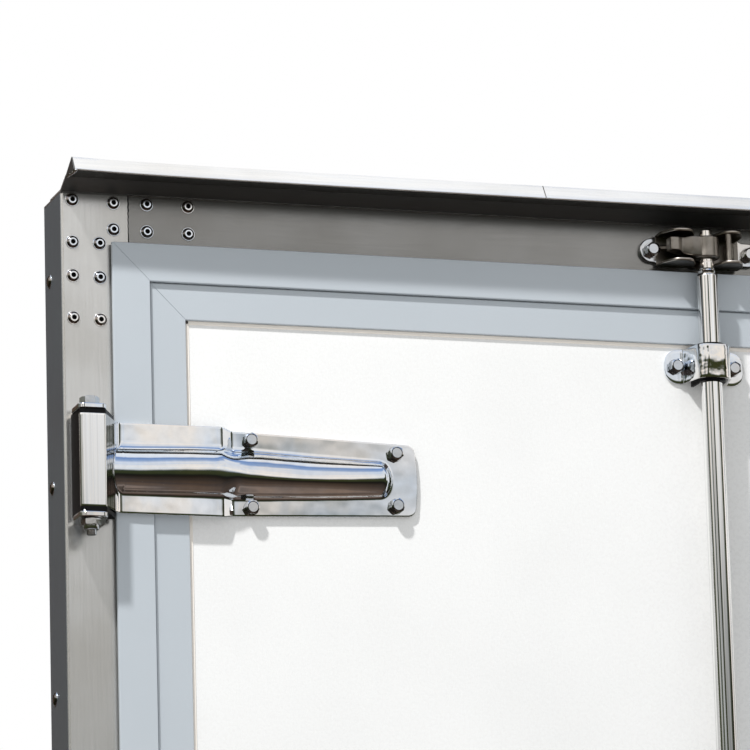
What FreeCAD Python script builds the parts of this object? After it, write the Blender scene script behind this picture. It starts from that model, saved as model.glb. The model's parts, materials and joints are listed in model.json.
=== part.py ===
"""Rear door frame of a small refrigerated truck body, with its pair of insulated leaves.

Millimetres, +Z up, +X to the right as seen from behind the vehicle, -Y towards the onlooker.
The origin is the middle of the underside of the sill. The frame is a folded stainless ring
round an insulated core. Each leaf hangs on three pressed strap hinges, and is held shut by an
upright rod whose cams turn into keepers on the header and the sill.
"""
import FreeCAD, Part
import math
import os

Vector = FreeCAD.Vector

# Driving sizes of the frame
WIDTH = 1900.0
HEIGHT = 1800.0
SHEET = 2.0
SHEET_BEND = 1.0
WALL = 75.0
JAMB = 3.5
JAMB_END = 115.0
SIDE_FLANGE = 64.0
JAMB_LIP = 12.0
CORE_END = 24.0
POST_SHOWS = 68.0
FIT_GAP = 0.3
SILL_BOLT_SPAN = 1500.0
SILL_BOLT_BACK = 44.0
SILL_BOLT_RADIUS = 6.5

# Rain visor, a folded strip over the header
VISOR_FLANGE = 40.0
VISOR_RUN = 26.0
VISOR_RISE = 8.0
VISOR_SHELF = 29.0
VISOR_LIP = 14.5
VISOR_LEAN = 8.5
VISOR_SHEET = 1.5

# Leaf: outer band, inner strip, panel and seal
LEAF_SIDE = 49.4
LEAF_END = 51.0
CENTRE_GAP = 4.0
BAND_WIDE = 38.0
BAND_PROUD = 9.0
BAND_THICK = 4.5
BAND_STRIP_GAP = 1.1
BAND_EDGE = 0.8
STRIP_WIDE = 35.7
STRIP_THICK = 4.0
SKIN_PROUD = 1.0
PANEL_THICK = 75.0
PANEL_TAPER = 3.0
FREE_TAPER = 6.0
WEB = 1.9
FREE_WEB = 4.0
WEB_DEPTH = 24.0
MITRE_LINE = 0.4
MITRE_DEEP = 0.4
SEAL_INSET = 2.0
SEAL_WIDE = 27.0
BULB_WIDE = 2.7
BULB_DEPTH = 14.0

# Strap hinges
HINGE_FROM_END = 279.5
PIN_IN = 17.0
PIN_OUT = 34.0
PIN_RADIUS = 5.0
RUNNING_GAP = 0.05
STRAP_THICK = 4.5
STRAP_BEND = 0.8
BARREL_EDGE = 4.0
NECK_BEND = 8.0
JOGGLE_BEND = 8.0
STRAP_FRONT = 12.0
BARREL_HALF_WIDE = 12.5
BARREL_HALF_TALL = 46.0
BARREL_LIP = 5.5
NECK_RUN = 17.0
RAISED_HALF_TALL = 45.0
RAISED_END = 156.0
JOGGLE_RUN = 13.0
LOW_HALF_TALL = 42.5
TIP_HALF_TALL = 36.0
STRAP_END = 358.0
STRAP_END_BOW = 1.5
STRAP_CORNER = 9.0
RIB_INTO_NECK = 7.0
RIB_HALF = 27.0
RIB_HIGH = 12.5
RIB_LOW_HALF = 27.0
RIB_LOW_HIGH = 16.5
RIB_TIP_HALF = 20.0
RIB_TIP_HIGH = 11.0
RIB_TIP = 320.0
RIB_NOSE = 14.0
RIB_FILLET = 10.0
RIB_LOW_FILLET = 8.0
RIB_TIP_FILLET = 4.0
INSERT_FLANGE = 4.7
INSERT_BACK = 9.0
INSERT_RIGHT = 34.0
INSERT_CORNER = 6.0
INSERT_EDGE = 1.5
EAR_THICK = 5.0
EAR_FRONT = 13.0
EAR_HALF_WIDE = 13.8
EAR_CORNER = 7.0
EAR_SIDE = 19.0
BRACKET_WEB = 4.0
BRACKET_LEFT = 8.0
BRACKET_RIGHT = 38.0
HEX_ACROSS = 17.0
HEAD_TALL = 8.5
NUT_TALL = 7.0
NUT_COLLAR = 4.5
THREAD_SHOWS = 4.5

# Lock rods, cams and keepers
ROD_FROM_MIDDLE = 278.5
ROD_OUT = 22.5
ROD_RADIUS = 11.0
ROD_TIP = 10.5
CAM_FROM_END = 29.0
CAM_RADIUS = 13.5
CAM_HALF_TALL = 11.0
NECK_RADIUS = 6.2
COLLAR_RADIUS = 7.2
COLLAR_TOP = 46.0
BEAD_TOP = 54.0
TUBE_TOP = 58.5
BEAD_RADIUS = 8.6
CAM_EDGE = 1.2
ARM_LENGTH = 41.5
ARM_BACK = 5.0
ARM_TIP_FRONT = 8.5
ARM_TIP_LONG = 9.0
ARM_HOLLOW = 5.0
ARM_HOLLOW_AT = 27.0
ARM_ROOT_FRONT = 10.5
ARM_ROOT_AT = 18.0
ARM_TIP_DROP = 2.0
ARM_TIP_TALL = 13.5
KEEPER_BOLT = 52.5
KEEPER_EAR = 12.5
KEEPER_BASE = 5.0
KEEPER_SLOT = 9.5
KEEPER_REACH = 37.5
KEEPER_JAW = 14.0
KEEPER_FLANGE = 3.0
JAW_LEFT_AT = 28.5
JAW_LEFT_HALF = 19.0
JAW_RIGHT_AT = 26.0
JAW_RIGHT_HALF = 16.0
JAW_FLAT = 0.45
KEEPER_PIN = 3.1
KEEPER_PIN_IN = 21.5
KEEPER_PIN_OUT = 31.5
KEEPER_BLOCK = 10.0
KEEPER_BLOCK_OUT = 19.0
KEEPER_BLOCK_HALF = 9.0

# Rod guides, handle and its catch
GUIDE_FROM_END = 149.5
GUIDE_HALF_TALL = 17.5
GUIDE_HALF_WIDE = 43.0
GUIDE_SHEET = 2.5
GUIDE_CORNER = 15.5
GUIDE_FOOT = 4.0
BUSH_WALL = 3.0
BUSH_PROUD = 1.6
HANDLE_AT = 760.0
HANDLE_GUIDE_STEP = 115.0
HUB_RADIUS = 16.0
HUB_HALF_TALL = 17.0
HANDLE_LENGTH = 330.0
HANDLE_CRANK_START = 45.0
HANDLE_CRANK_END = 80.0
HANDLE_CRANK = 14.0
HANDLE_THICK = 6.0
HANDLE_HALF_TALL = 14.0
CATCH_FROM_TIP = 65.0
CATCH_HALF_WIDE = 20.0
CATCH_SHEET = 3.0
CATCH_GAP = 5.0
CATCH_PAST = 6.0
CATCH_FOOT = 12.0

# Places worked out from the driving sizes
LEFT = -WIDTH / 2
FRONT = -SIDE_FLANGE / 2
FACE = SHEET + WALL + JAMB
LEAF_LEFT = LEFT + LEAF_SIDE
LEAF_RIGHT = -CENTRE_GAP
LEAF_BOTTOM = LEAF_END
LEAF_TOP = HEIGHT - LEAF_END
BAND_FRONT = FRONT - BAND_PROUD
BAND_BACK = BAND_FRONT + BAND_THICK
SKIN = FRONT - SKIN_PROUD
PIN_X = LEFT + PIN_IN
PIN_Y = FRONT - PIN_OUT
HINGE_HEIGHTS = (HINGE_FROM_END, HEIGHT / 2, HEIGHT - HINGE_FROM_END)
ROD_X = -ROD_FROM_MIDDLE
ROD_Y = FRONT - ROD_OUT
GUIDE_HEIGHTS = (
    GUIDE_FROM_END,
    HANDLE_AT - HANDLE_GUIDE_STEP,
    HANDLE_AT + HANDLE_GUIDE_STEP,
    HEIGHT - GUIDE_FROM_END,
)


def box(x0, x1, y0, y1, z0, z1):
    """A block between two corners."""
    return Part.makeBox(x1 - x0, y1 - y0, z1 - z0, Vector(x0, y0, z0))


def upright(x, y, z0, z1, radius):
    """A vertical round bar."""
    return Part.makeCylinder(radius, z1 - z0, Vector(x, y, z0))


def corner_points(before, corner, after):
    """Where the rounding of a corner (u, v, radius) begins, peaks and ends."""
    here = Vector(corner[0], corner[1], 0)
    radius = corner[2]
    if radius == 0:
        return here, here, here
    to_before = (Vector(before[0], before[1], 0) - here).normalize()
    to_after = (Vector(after[0], after[1], 0) - here).normalize()
    half = to_before.getAngle(to_after) / 2
    cut = radius / math.tan(half)
    inward = (to_before + to_after).normalize()
    peak = here + inward * (radius / math.sin(half) - radius)
    return here + to_before * cut, peak, here + to_after * cut


def rounded_wire(corners, place):
    """A closed wire through corners (u, v, radius). place(u, v) gives the point in space."""
    after = corners[1:] + corners[:1]
    rounds = [corner_points(corners[i - 1], c, after[i]) for i, c in enumerate(corners)]
    edges = []
    for i, points in enumerate(rounds):
        start, peak, end = [place(p.x, p.y) for p in points]
        if corners[i][2] > 0:
            edges.append(Part.Arc(start, peak, end).toShape())
        following = rounds[(i + 1) % len(rounds)][0]
        goal = place(following.x, following.y)
        if (goal - end).Length > 1e-6:
            edges.append(Part.makeLine(end, goal))
    return Part.Wire(edges)


def plan_prism(corners, z0, z1):
    """A prism whose outline is drawn in plan, as (x, y, radius) corners."""
    wire = rounded_wire(corners, lambda u, v: Vector(u, v, z0))
    return Part.Face(wire).extrude(Vector(0, 0, z1 - z0))


def front_prism(corners, y0, y1):
    """A prism whose outline is drawn in the front view, as (x, z, radius) corners."""
    wire = rounded_wire(corners, lambda u, v: Vector(u, y0, v))
    return Part.Face(wire).extrude(Vector(0, y1 - y0, 0))


def side_prism(corners, x0, x1):
    """A prism whose outline is drawn in the side view, as (y, z, radius) corners."""
    wire = rounded_wire(corners, lambda u, v: Vector(x0, u, v))
    return Part.Face(wire).extrude(Vector(x1 - x0, 0, 0))


def folded(path, thickness, bends):
    """The corners of a folded sheet. The sheet lies on the left of its path. bends gives the
    radii inside and outside each fold, or one radius inside for them all."""
    points = [Vector(u, v, 0) for u, v in path]
    if not isinstance(bends, list):
        bends = [(bends, bends + thickness)] * (len(points) - 2)
    ways = [(b - a).normalize() for a, b in zip(points, points[1:])]
    lefts = [Vector(-w.y, w.x, 0) for w in ways]
    near = [(points[0].x, points[0].y, 0.0)]
    first = points[0] + lefts[0] * thickness
    far = [(first.x, first.y, 0.0)]
    for i, (inside, outside) in enumerate(bends, 1):
        turn = ways[i - 1].cross(ways[i]).z
        across = (lefts[i - 1] + lefts[i]).normalize()
        offset = points[i] + across * (thickness / across.dot(lefts[i]))
        near.append((points[i].x, points[i].y, outside if turn > 0 else inside))
        far.append((offset.x, offset.y, inside if turn > 0 else outside))
    last = points[-1] + lefts[-1] * thickness
    near.append((points[-1].x, points[-1].y, 0.0))
    far.append((last.x, last.y, 0.0))
    return near + far[::-1]


def hexagon(x, y, z0, z1, across):
    """A hexagonal head or nut on an upright axis."""
    radius = across / math.sqrt(3)
    turns = [math.radians(60 * i) for i in range(6)]
    corners = [(x + radius * math.cos(t), y + radius * math.sin(t), 0.0) for t in turns]
    return plan_prism(corners, z0, z1)


def fused(pieces):
    """One shape from several that touch."""
    return pieces[0].multiFuse(pieces[1:]).removeSplitter()


def mirrored(shape):
    """The same piece on the other side of the middle."""
    return shape.mirror(Vector(0, 0, 0), Vector(1, 0, 0))


def top_for_bottom(shape):
    """The same piece at the other end of the height."""
    return shape.mirror(Vector(0, 0, HEIGHT / 2), Vector(0, 0, 1))


def write(name, *shapes):
    """Writes one node as a STEP file."""
    shape = shapes[0] if len(shapes) == 1 else Part.makeCompound(list(shapes))
    shape.exportStep(os.path.join("parts", name + ".step"))


def write_pair(name, *shapes):
    """Writes a left node and its mirror on the right."""
    write(name + "_left", *shapes)
    write(name + "_right", *[mirrored(s) for s in shapes])


def make_post():
    """The folded post: side flange, front face and jamb lip, notched where the header laps."""
    right = LEFT + FACE
    path = [
        (LEFT, FRONT + SIDE_FLANGE),
        (LEFT, FRONT),
        (right, FRONT),
        (right, FRONT + JAMB_LIP),
    ]
    channel = plan_prism(folded(path, SHEET, SHEET_BEND), SHEET, HEIGHT - SHEET)
    notch = box(LEFT + POST_SHOWS, right + 1, FRONT - 1, FRONT + JAMB_LIP + 1, HEIGHT - FACE, HEIGHT)
    return channel.cut(notch).cut(top_for_bottom(notch))


def make_header():
    """The folded header: front face between the posts, and a top flange that caps them."""
    bottom = HEIGHT - FACE
    path = [
        (FRONT + SIDE_FLANGE, HEIGHT),
        (FRONT, HEIGHT),
        (FRONT, bottom),
        (FRONT + JAMB_LIP, bottom),
    ]
    face = side_prism(folded(path, SHEET, SHEET_BEND), LEFT + POST_SHOWS, -LEFT - POST_SHOWS)
    lip_cut = box(LEFT, LEFT + FACE, FRONT + SHEET, FRONT + JAMB_LIP + 1, bottom - 1, HEIGHT - SHEET)
    face = face.cut(lip_cut).cut(mirrored(lip_cut))
    cap = box(LEFT, LEFT + POST_SHOWS, FRONT, FRONT + SIDE_FLANGE, HEIGHT - SHEET, HEIGHT)
    return fused([face, cap, mirrored(cap)])


def make_sill():
    """The sill, the header's form upside down, with two bolt holes in its bottom flange."""
    sill = top_for_bottom(make_header())
    for side in (-1, 1):
        x = side * SILL_BOLT_SPAN / 2
        hole = upright(x, FRONT + SILL_BOLT_BACK, -1, SHEET + 1, SILL_BOLT_RADIUS)
        sill = sill.cut(hole)
    return sill


def make_visor():
    """The rain visor: base flange, rising part, shelf, and upturned lip that leans back."""
    front = FRONT - VISOR_RUN - VISOR_SHELF
    shelf = HEIGHT + VISOR_RISE
    top = shelf + VISOR_LIP
    path = [
        (front + VISOR_LEAN, top),
        (front, shelf),
        (FRONT - VISOR_RUN, shelf),
        (FRONT, HEIGHT),
        (FRONT + VISOR_FLANGE, HEIGHT),
    ]
    strip = side_prism(folded(path, VISOR_SHEET, SHEET_BEND), LEFT, -LEFT)
    mid = VISOR_SHEET / 2
    cheek_corners = [
        (FRONT, HEIGHT + mid, 0.0),
        (FRONT - VISOR_RUN, shelf + mid, 0.0),
        (front + mid, shelf + mid, 0.0),
        (front + VISOR_LEAN + mid, top - mid, 0.0),
    ]
    cheek = side_prism(cheek_corners, LEFT, LEFT + VISOR_SHEET)
    return fused([strip, cheek, mirrored(cheek)])


def make_cores():
    """The insulated core of each member, which stops short to leave the rebate for the walls."""
    y0 = FRONT + SHEET
    y1 = FRONT + CORE_END
    outer = LEFT + SHEET
    inner = outer + WALL
    side = plan_prism(
        [(outer, y0, SHEET_BEND), (inner, y0, 0.0), (inner, y1, 0.0), (outer, y1, 0.0)],
        SHEET,
        HEIGHT - SHEET,
    )
    low = HEIGHT - SHEET - WALL
    high = HEIGHT - SHEET
    top = side_prism(
        [(y0, low, 0.0), (y1, low, 0.0), (y1, high, 0.0), (y0, high, SHEET_BEND)], inner, -inner
    )
    return side, top, top_for_bottom(top)


def make_jambs():
    """The moulded lining of the opening, behind the steel lip."""
    y0 = FRONT + JAMB_LIP + FIT_GAP
    y1 = FRONT + JAMB_END
    inner = LEFT + FACE
    outer = inner - JAMB
    side = box(outer, inner, y0, y1, FACE, HEIGHT - FACE)
    top = box(outer, -outer, y0, y1, HEIGHT - FACE, HEIGHT - FACE + JAMB)
    return side, top, top_for_bottom(top)


def ring(x0, x1, z0, z1, wide, y0, y1):
    """A rectangular frame lying in the front plane, its front edges eased."""
    outer = box(x0, x1, y0, y1, z0, z1)
    frame = outer.cut(box(x0 + wide, x1 - wide, y0 - 1, y1 + 1, z0 + wide, z1 - wide))
    front = [e for e in frame.Edges if all(abs(v.Point.y - y0) < 1e-6 for v in e.Vertexes)]
    return frame.makeFillet(BAND_EDGE, front)


def mitre_lines(x0, x1, z0, z1, wide, front):
    """Fine saw lines across the four corners of a frame, at 45 degrees."""
    lines = []
    half = MITRE_LINE / 2
    past = wide + 1
    for x, z, dx, dz in ((x0, z0, 1, 1), (x1, z0, -1, 1), (x1, z1, -1, -1), (x0, z1, 1, -1)):
        corners = [
            (x - dx - half * dx, z - dz + half * dz, 0.0),
            (x - dx + half * dx, z - dz - half * dz, 0.0),
            (x + dx * past + half * dx, z + dz * past - half * dz, 0.0),
            (x + dx * past - half * dx, z + dz * past + half * dz, 0.0),
        ]
        lines.append(front_prism(corners, front - 1, front + MITRE_DEEP))
    return lines


def make_edge_frame():
    """The leaf's edge section: an outer band that overlaps the posts, and a web that grips the
    panel. On the free edge the band lies on the panel."""
    band = ring(LEAF_LEFT, LEAF_RIGHT, LEAF_BOTTOM, LEAF_TOP, BAND_WIDE, BAND_FRONT, BAND_BACK)
    web_out = BAND_WIDE - WEB
    x0 = LEAF_LEFT + web_out
    z0 = LEAF_BOTTOM + web_out
    z1 = LEAF_TOP - web_out
    web_back = SKIN + WEB_DEPTH
    web = box(x0, LEAF_RIGHT, BAND_BACK, web_back, z0, z1)
    room = box(x0 + WEB, LEAF_RIGHT - FREE_WEB, SKIN, web_back + 1, z0 + WEB, z1 - WEB)
    open_front = box(
        x0 + WEB, LEAF_RIGHT - BAND_WIDE, BAND_BACK - 1, SKIN + 1, z0 + WEB, z1 - WEB
    )
    frame = fused([band, web.cut(room).cut(open_front)])
    for line in mitre_lines(LEAF_LEFT, LEAF_RIGHT, LEAF_BOTTOM, LEAF_TOP, BAND_WIDE, BAND_FRONT):
        frame = frame.cut(line)
    return frame


def make_cover_strip():
    """The flat inner strip that covers the edge of the panel's skin."""
    inset = BAND_WIDE + BAND_STRIP_GAP
    x0 = LEAF_LEFT + inset
    x1 = LEAF_RIGHT - inset
    z0 = LEAF_BOTTOM + inset
    z1 = LEAF_TOP - inset
    front = SKIN - STRIP_THICK
    strip = ring(x0, x1, z0, z1, STRIP_WIDE, front, SKIN)
    for line in mitre_lines(x0, x1, z0, z1, STRIP_WIDE, front):
        strip = strip.cut(line)
    return strip


def make_panel():
    """The insulated panel, a plug that narrows towards the inside of the body."""
    x0 = LEAF_LEFT + BAND_WIDE
    x1 = LEAF_RIGHT - FREE_WEB
    z0 = LEAF_BOTTOM + BAND_WIDE
    z1 = LEAF_TOP - BAND_WIDE
    web_back = SKIN + WEB_DEPTH
    straight = box(x0, x1, SKIN, web_back, z0, z1)
    back = SKIN + PANEL_THICK
    t = PANEL_TAPER
    near = [(x0, z0), (x1, z0), (x1, z1), (x0, z1), (x0, z0)]
    far = [
        (x0 + t, z0 + t),
        (x1 - FREE_TAPER, z0 + t),
        (x1 - FREE_TAPER, z1 - t),
        (x0 + t, z1 - t),
        (x0 + t, z0 + t),
    ]
    wires = [
        Part.makePolygon([Vector(x, y, z) for x, z in points])
        for points, y in ((near, web_back), (far, back))
    ]
    return fused([straight, Part.makeLoft(wires, True, True)])


def make_seal():
    """The rubber seal: a flat strip behind the overlapping band, and a bulb on the free edge."""
    x0 = LEAF_LEFT + SEAL_INSET
    z0 = LEAF_BOTTOM + SEAL_INSET
    z1 = LEAF_TOP - SEAL_INSET
    y1 = FRONT - FIT_GAP
    outer = box(x0, LEAF_RIGHT, BAND_BACK, y1, z0, z1)
    w = SEAL_WIDE
    flat = outer.cut(box(x0 + w, LEAF_RIGHT + 1, BAND_BACK - 1, y1 + 1, z0 + w, z1 - w))
    bulb_x = LEAF_RIGHT + BULB_WIDE
    lip = box(LEAF_RIGHT, bulb_x, BAND_BACK, y1, z0, z1)
    low = LEAF_BOTTOM + BAND_WIDE
    high = LEAF_TOP - BAND_WIDE
    bulb = box(LEAF_RIGHT, bulb_x, BAND_BACK, BAND_BACK + BULB_DEPTH, low, high)
    return fused([flat, lip, bulb])


def bell(x, base, half, high, fillet, back):
    """The cross-section of a pressed rib at x: two hollow corners and a round crown."""
    both = (half * half + high * high) / (2 * high)
    share = half / both
    join = fillet * share
    lift = fillet - fillet * math.sqrt(1 - share * share)
    turn = math.asin(share) / 2
    mid_z = half - fillet * math.sin(turn)
    mid_lift = fillet * (1 - math.cos(turn))
    corner = half - join

    def at(z, out):
        return Vector(x, base - out, z)

    edges = [
        Part.Arc(at(-half, 0), at(-mid_z, mid_lift), at(-corner, lift)).toShape(),
        Part.Arc(at(-corner, lift), at(0, high), at(corner, lift)).toShape(),
        Part.Arc(at(corner, lift), at(mid_z, mid_lift), at(half, 0)).toShape(),
        Part.makeLine(at(half, 0), at(half, -back)),
        Part.makeLine(at(half, -back), at(-half, -back)),
        Part.makeLine(at(-half, -back), at(-half, 0)),
    ]
    return Part.Wire(edges)


def rib_spans(raised, low, narrow, back):
    """The rib as spans between cross-sections: out of the neck, over the raised part and the
    joggle, along the taper, and round the nose."""
    start = PIN_IN + BARREL_HALF_WIDE + NECK_RUN - RIB_INTO_NECK
    joggle_end = RAISED_END + JOGGLE_RUN
    nose = [(share, math.sqrt(1 - share * share)) for share in (0.5, 0.8, 0.97)]
    stations = [
        (start, raised, RIB_HALF, RIB_HIGH, RIB_FILLET),
        (RAISED_END, raised, RIB_HALF, RIB_HIGH, RIB_FILLET),
        (joggle_end, low, RIB_LOW_HALF, RIB_LOW_HIGH, RIB_LOW_FILLET),
        (RIB_TIP, low, RIB_TIP_HALF, RIB_TIP_HIGH, RIB_TIP_FILLET),
    ]
    for share, left in nose:
        x = RIB_TIP + RIB_NOSE * share
        fillet = RIB_TIP_FILLET * left
        stations.append((x, low, RIB_TIP_HALF * left, RIB_TIP_HIGH * left, fillet))
    wires = [bell(x, base, half - narrow, high, r, back) for x, base, half, high, r in stations]
    return [Part.makeLoft([a, b], True, True) for a, b in zip(wires, wires[1:])]


def make_strap():
    """One pressed strap hinge, drawn with the pin's height at z = 0 and the frame's outer face
    at x = 0 and its front at y = 0: lip, barrel front, neck, raised part, joggle, tapered foot."""
    front = -PIN_OUT - STRAP_FRONT
    left = PIN_IN - BARREL_HALF_WIDE
    right = PIN_IN + BARREL_HALF_WIDE
    raised = -BAND_PROUD - STRAP_THICK
    low = -SKIN_PROUD - STRAP_THICK
    joggle_end = RAISED_END + JOGGLE_RUN
    path = [
        (left, front + BARREL_LIP),
        (left, front),
        (right, front),
        (right + NECK_RUN, raised),
        (RAISED_END, raised),
        (joggle_end, low),
        (STRAP_END + STRAP_END_BOW + 1, low),
    ]
    bends = [
        (STRAP_BEND, BARREL_EDGE),
        (STRAP_BEND, BARREL_EDGE),
        (NECK_BEND, NECK_BEND + STRAP_THICK),
        (JOGGLE_BEND, JOGGLE_BEND + STRAP_THICK),
        (JOGGLE_BEND, JOGGLE_BEND + STRAP_THICK),
    ]
    tall = BARREL_HALF_TALL
    sheet = plan_prism(folded(path, STRAP_THICK, bends), -tall, tall)
    upper = [
        (STRAP_END + STRAP_END_BOW, 0.0, 0.0),
        (STRAP_END, TIP_HALF_TALL, STRAP_CORNER),
        (joggle_end, LOW_HALF_TALL, 0.0),
        (RAISED_END, RAISED_HALF_TALL, 0.0),
        (right + NECK_RUN, RAISED_HALF_TALL, 0.0),
        (right, tall, 0.0),
        (left - 1, tall, 0.0),
    ]
    lower = [(x, -z, r) for x, z, r in upper[:0:-1]]
    outline = front_prism(upper + lower, front - 1, 1)
    plate = sheet.common(outline)
    swelling = fused([plate] + rib_spans(raised, low, 0.0, STRAP_THICK / 2))
    hollow = rib_spans(raised + STRAP_THICK, low + STRAP_THICK, STRAP_THICK / 2, STRAP_THICK)
    for span in hollow:
        swelling = swelling.cut(span)
    return swelling


def make_insert():
    """The nylon bearing block folded into the strap's end, with a flange over and under it."""
    front = -PIN_OUT - STRAP_FRONT
    left = PIN_IN - BARREL_HALF_WIDE
    right = PIN_IN + BARREL_HALF_WIDE
    raised = -BAND_PROUD - STRAP_THICK
    inside = front + STRAP_THICK
    neck_angle = math.atan2(raised - front, NECK_RUN)
    neck_shift = (STRAP_THICK + FIT_GAP) / math.sin(neck_angle)
    neck_slope = NECK_RUN / (raised - front)

    def neck(y):
        return right + (y - front) * neck_slope - neck_shift

    step = front + BARREL_LIP
    turn_y = inside + (INSERT_RIGHT - neck(inside)) / neck_slope
    block = [
        (left + STRAP_THICK, inside, STRAP_BEND),
        (neck(inside), inside, STRAP_BEND),
        (INSERT_RIGHT, turn_y, 0.0),
        (INSERT_RIGHT, -INSERT_BACK, INSERT_CORNER),
        (left, -INSERT_BACK, INSERT_EDGE),
        (left, step, 0.0),
        (left + STRAP_THICK, step, 0.0),
    ]
    tall = BARREL_HALF_TALL
    body = plan_prism(block, -tall, tall)
    edge = right + NECK_RUN
    flange = [
        (left, front, BARREL_EDGE),
        (right, front, BARREL_EDGE),
        (edge, raised, 0.0),
        (edge, -INSERT_BACK, 0.0),
        (left, -INSERT_BACK, INSERT_EDGE),
    ]
    over = plan_prism(flange, tall, tall + INSERT_FLANGE)
    under = plan_prism(flange, -tall - INSERT_FLANGE, -tall)
    reach = tall + INSERT_FLANGE + 1
    bore = upright(PIN_IN, -PIN_OUT, -reach, reach, PIN_RADIUS + RUNNING_GAP)
    return fused([body, over, under]).cut(bore)


def ear_level():
    """Half the gap between a bracket's ears."""
    return BARREL_HALF_TALL + INSERT_FLANGE + FIT_GAP


def make_bracket():
    """The hinge bracket on the post: a web plate and two ears that hold the pin."""
    inner = ear_level()
    outer = inner + EAR_THICK
    front = -PIN_OUT - EAR_FRONT
    ear = [
        (PIN_IN - EAR_HALF_WIDE, front, EAR_CORNER),
        (PIN_IN + EAR_HALF_WIDE, front, EAR_CORNER),
        (BRACKET_RIGHT, -BRACKET_WEB, 0.0),
        (BRACKET_RIGHT, 0.0, 0.0),
        (BRACKET_LEFT, 0.0, 0.0),
        (BRACKET_LEFT, -BRACKET_WEB, 0.0),
        (PIN_IN - EAR_HALF_WIDE, -EAR_SIDE, 0.0),
    ]
    upper = plan_prism(ear, inner, outer)
    lower = plan_prism(ear, -outer, -inner)
    web = box(BRACKET_LEFT, BRACKET_RIGHT, -BRACKET_WEB, 0.0, -outer, outer)
    bore = upright(PIN_IN, -PIN_OUT, -outer - 1, outer + 1, PIN_RADIUS + RUNNING_GAP)
    return fused([upper, lower, web]).cut(bore)


def make_hinge_pin():
    """The hexagon bolt that is the hinge pin, with its lock nut below."""
    x = PIN_IN
    y = -PIN_OUT
    ear = ear_level() + EAR_THICK
    nut_bottom = -ear - NUT_TALL
    end = nut_bottom - NUT_COLLAR - THREAD_SHOWS
    return fused(
        [
            upright(x, y, end, ear, PIN_RADIUS),
            hexagon(x, y, ear, ear + HEAD_TALL, HEX_ACROSS),
            hexagon(x, y, nut_bottom, -ear, HEX_ACROSS),
            upright(x, y, nut_bottom - NUT_COLLAR, nut_bottom, HEX_ACROSS / 2 - 1),
        ]
    )


def at_hinges(shape):
    """Copies of a hinge piece at the three hinge heights of the left leaf."""
    return [shape.translated(Vector(LEFT, FRONT, z)) for z in HINGE_HEIGHTS]


def make_rod():
    """The lock rod, a tube with a weld bead at each end."""
    tube = upright(ROD_X, ROD_Y, TUBE_TOP, HEIGHT - TUBE_TOP, ROD_RADIUS)
    bead = upright(ROD_X, ROD_Y, HEIGHT - TUBE_TOP, HEIGHT - BEAD_TOP, BEAD_RADIUS)
    return fused([tube, bead, top_for_bottom(bead)])


def make_stub():
    """The turned stub welded into the rod's upper end: a collar, and a neck for the cam."""
    collar = upright(ROD_X, ROD_Y, HEIGHT - BEAD_TOP, HEIGHT - COLLAR_TOP, COLLAR_RADIUS)
    neck = upright(ROD_X, ROD_Y, HEIGHT - COLLAR_TOP, HEIGHT - ROD_TIP, NECK_RADIUS)
    return fused([collar, neck])


def make_cam():
    """The upper cam: a round boss on the stub's neck and a claw that lies in the keeper."""
    z = HEIGHT - CAM_FROM_END
    low = z - CAM_HALF_TALL
    high = z + CAM_HALF_TALL
    boss = upright(ROD_X, ROD_Y, low, high, CAM_RADIUS)
    boss = boss.makeFillet(CAM_EDGE, [e for e in boss.Edges if isinstance(e.Curve, Part.Circle)])
    tip = ROD_X - ARM_LENGTH
    root = ROD_X - CAM_RADIUS * 0.6
    plan = [
        (root, ROD_Y - CAM_RADIUS * 0.8, 0.0),
        (ROD_X - ARM_ROOT_AT, ROD_Y - ARM_ROOT_FRONT, 5.0),
        (ROD_X - ARM_HOLLOW_AT, ROD_Y - ARM_HOLLOW, 4.0),
        (tip + ARM_TIP_LONG, ROD_Y - ARM_TIP_FRONT, 3.0),
        (tip, ROD_Y - ARM_TIP_FRONT, 3.0),
        (tip, ROD_Y + ARM_BACK, 2.5),
        (root, ROD_Y + CAM_RADIUS * 0.6, 0.0),
    ]
    arm = plan_prism(plan, low, high)
    tip_high = high - ARM_TIP_DROP
    tip_low = tip_high - ARM_TIP_TALL
    shape = [
        (ROD_X, low + CAM_EDGE, 0.0),
        (ROD_X, high - CAM_EDGE, 0.0),
        (ROD_X - ARM_ROOT_AT, high - CAM_EDGE, 2.0),
        (tip + ARM_TIP_LONG, tip_high, 2.0),
        (tip, tip_high, 1.5),
        (tip, tip_low, 1.5),
        (tip + ARM_TIP_LONG, tip_low, 3.0),
        (ROD_X - ARM_ROOT_AT, low + CAM_EDGE, 3.0),
    ]
    arm = arm.common(front_prism(shape, ROD_Y - 2 * CAM_RADIUS, ROD_Y + 2 * CAM_RADIUS))
    bore = upright(ROD_X, ROD_Y, low - 1, high + 1, NECK_RADIUS + RUNNING_GAP)
    return fused([boss, arm]).cut(bore)


def half_moon(x, half, z0, z1):
    """A half-moon flange on the keeper's base, flat in front and round at its ends."""
    face = FRONT - KEEPER_BASE / 2
    front = FRONT - KEEPER_REACH
    flat = half * JAW_FLAT
    lean = 0.78
    mid_y = face + (front - face) * lean
    mid_x = flat + (half - flat) * lean
    points = [
        Vector(x - half, face, z0),
        Vector(x - mid_x, mid_y, z0),
        Vector(x - flat, front, z0),
        Vector(x + flat, front, z0),
        Vector(x + mid_x, mid_y, z0),
        Vector(x + half, face, z0),
    ]
    edges = [
        Part.Arc(points[0], points[1], points[2]).toShape(),
        Part.makeLine(points[2], points[3]),
        Part.Arc(points[3], points[4], points[5]).toShape(),
        Part.makeLine(points[5], points[0]),
    ]
    return Part.Face(Part.Wire(edges)).extrude(Vector(0, 0, z1 - z0))


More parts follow.
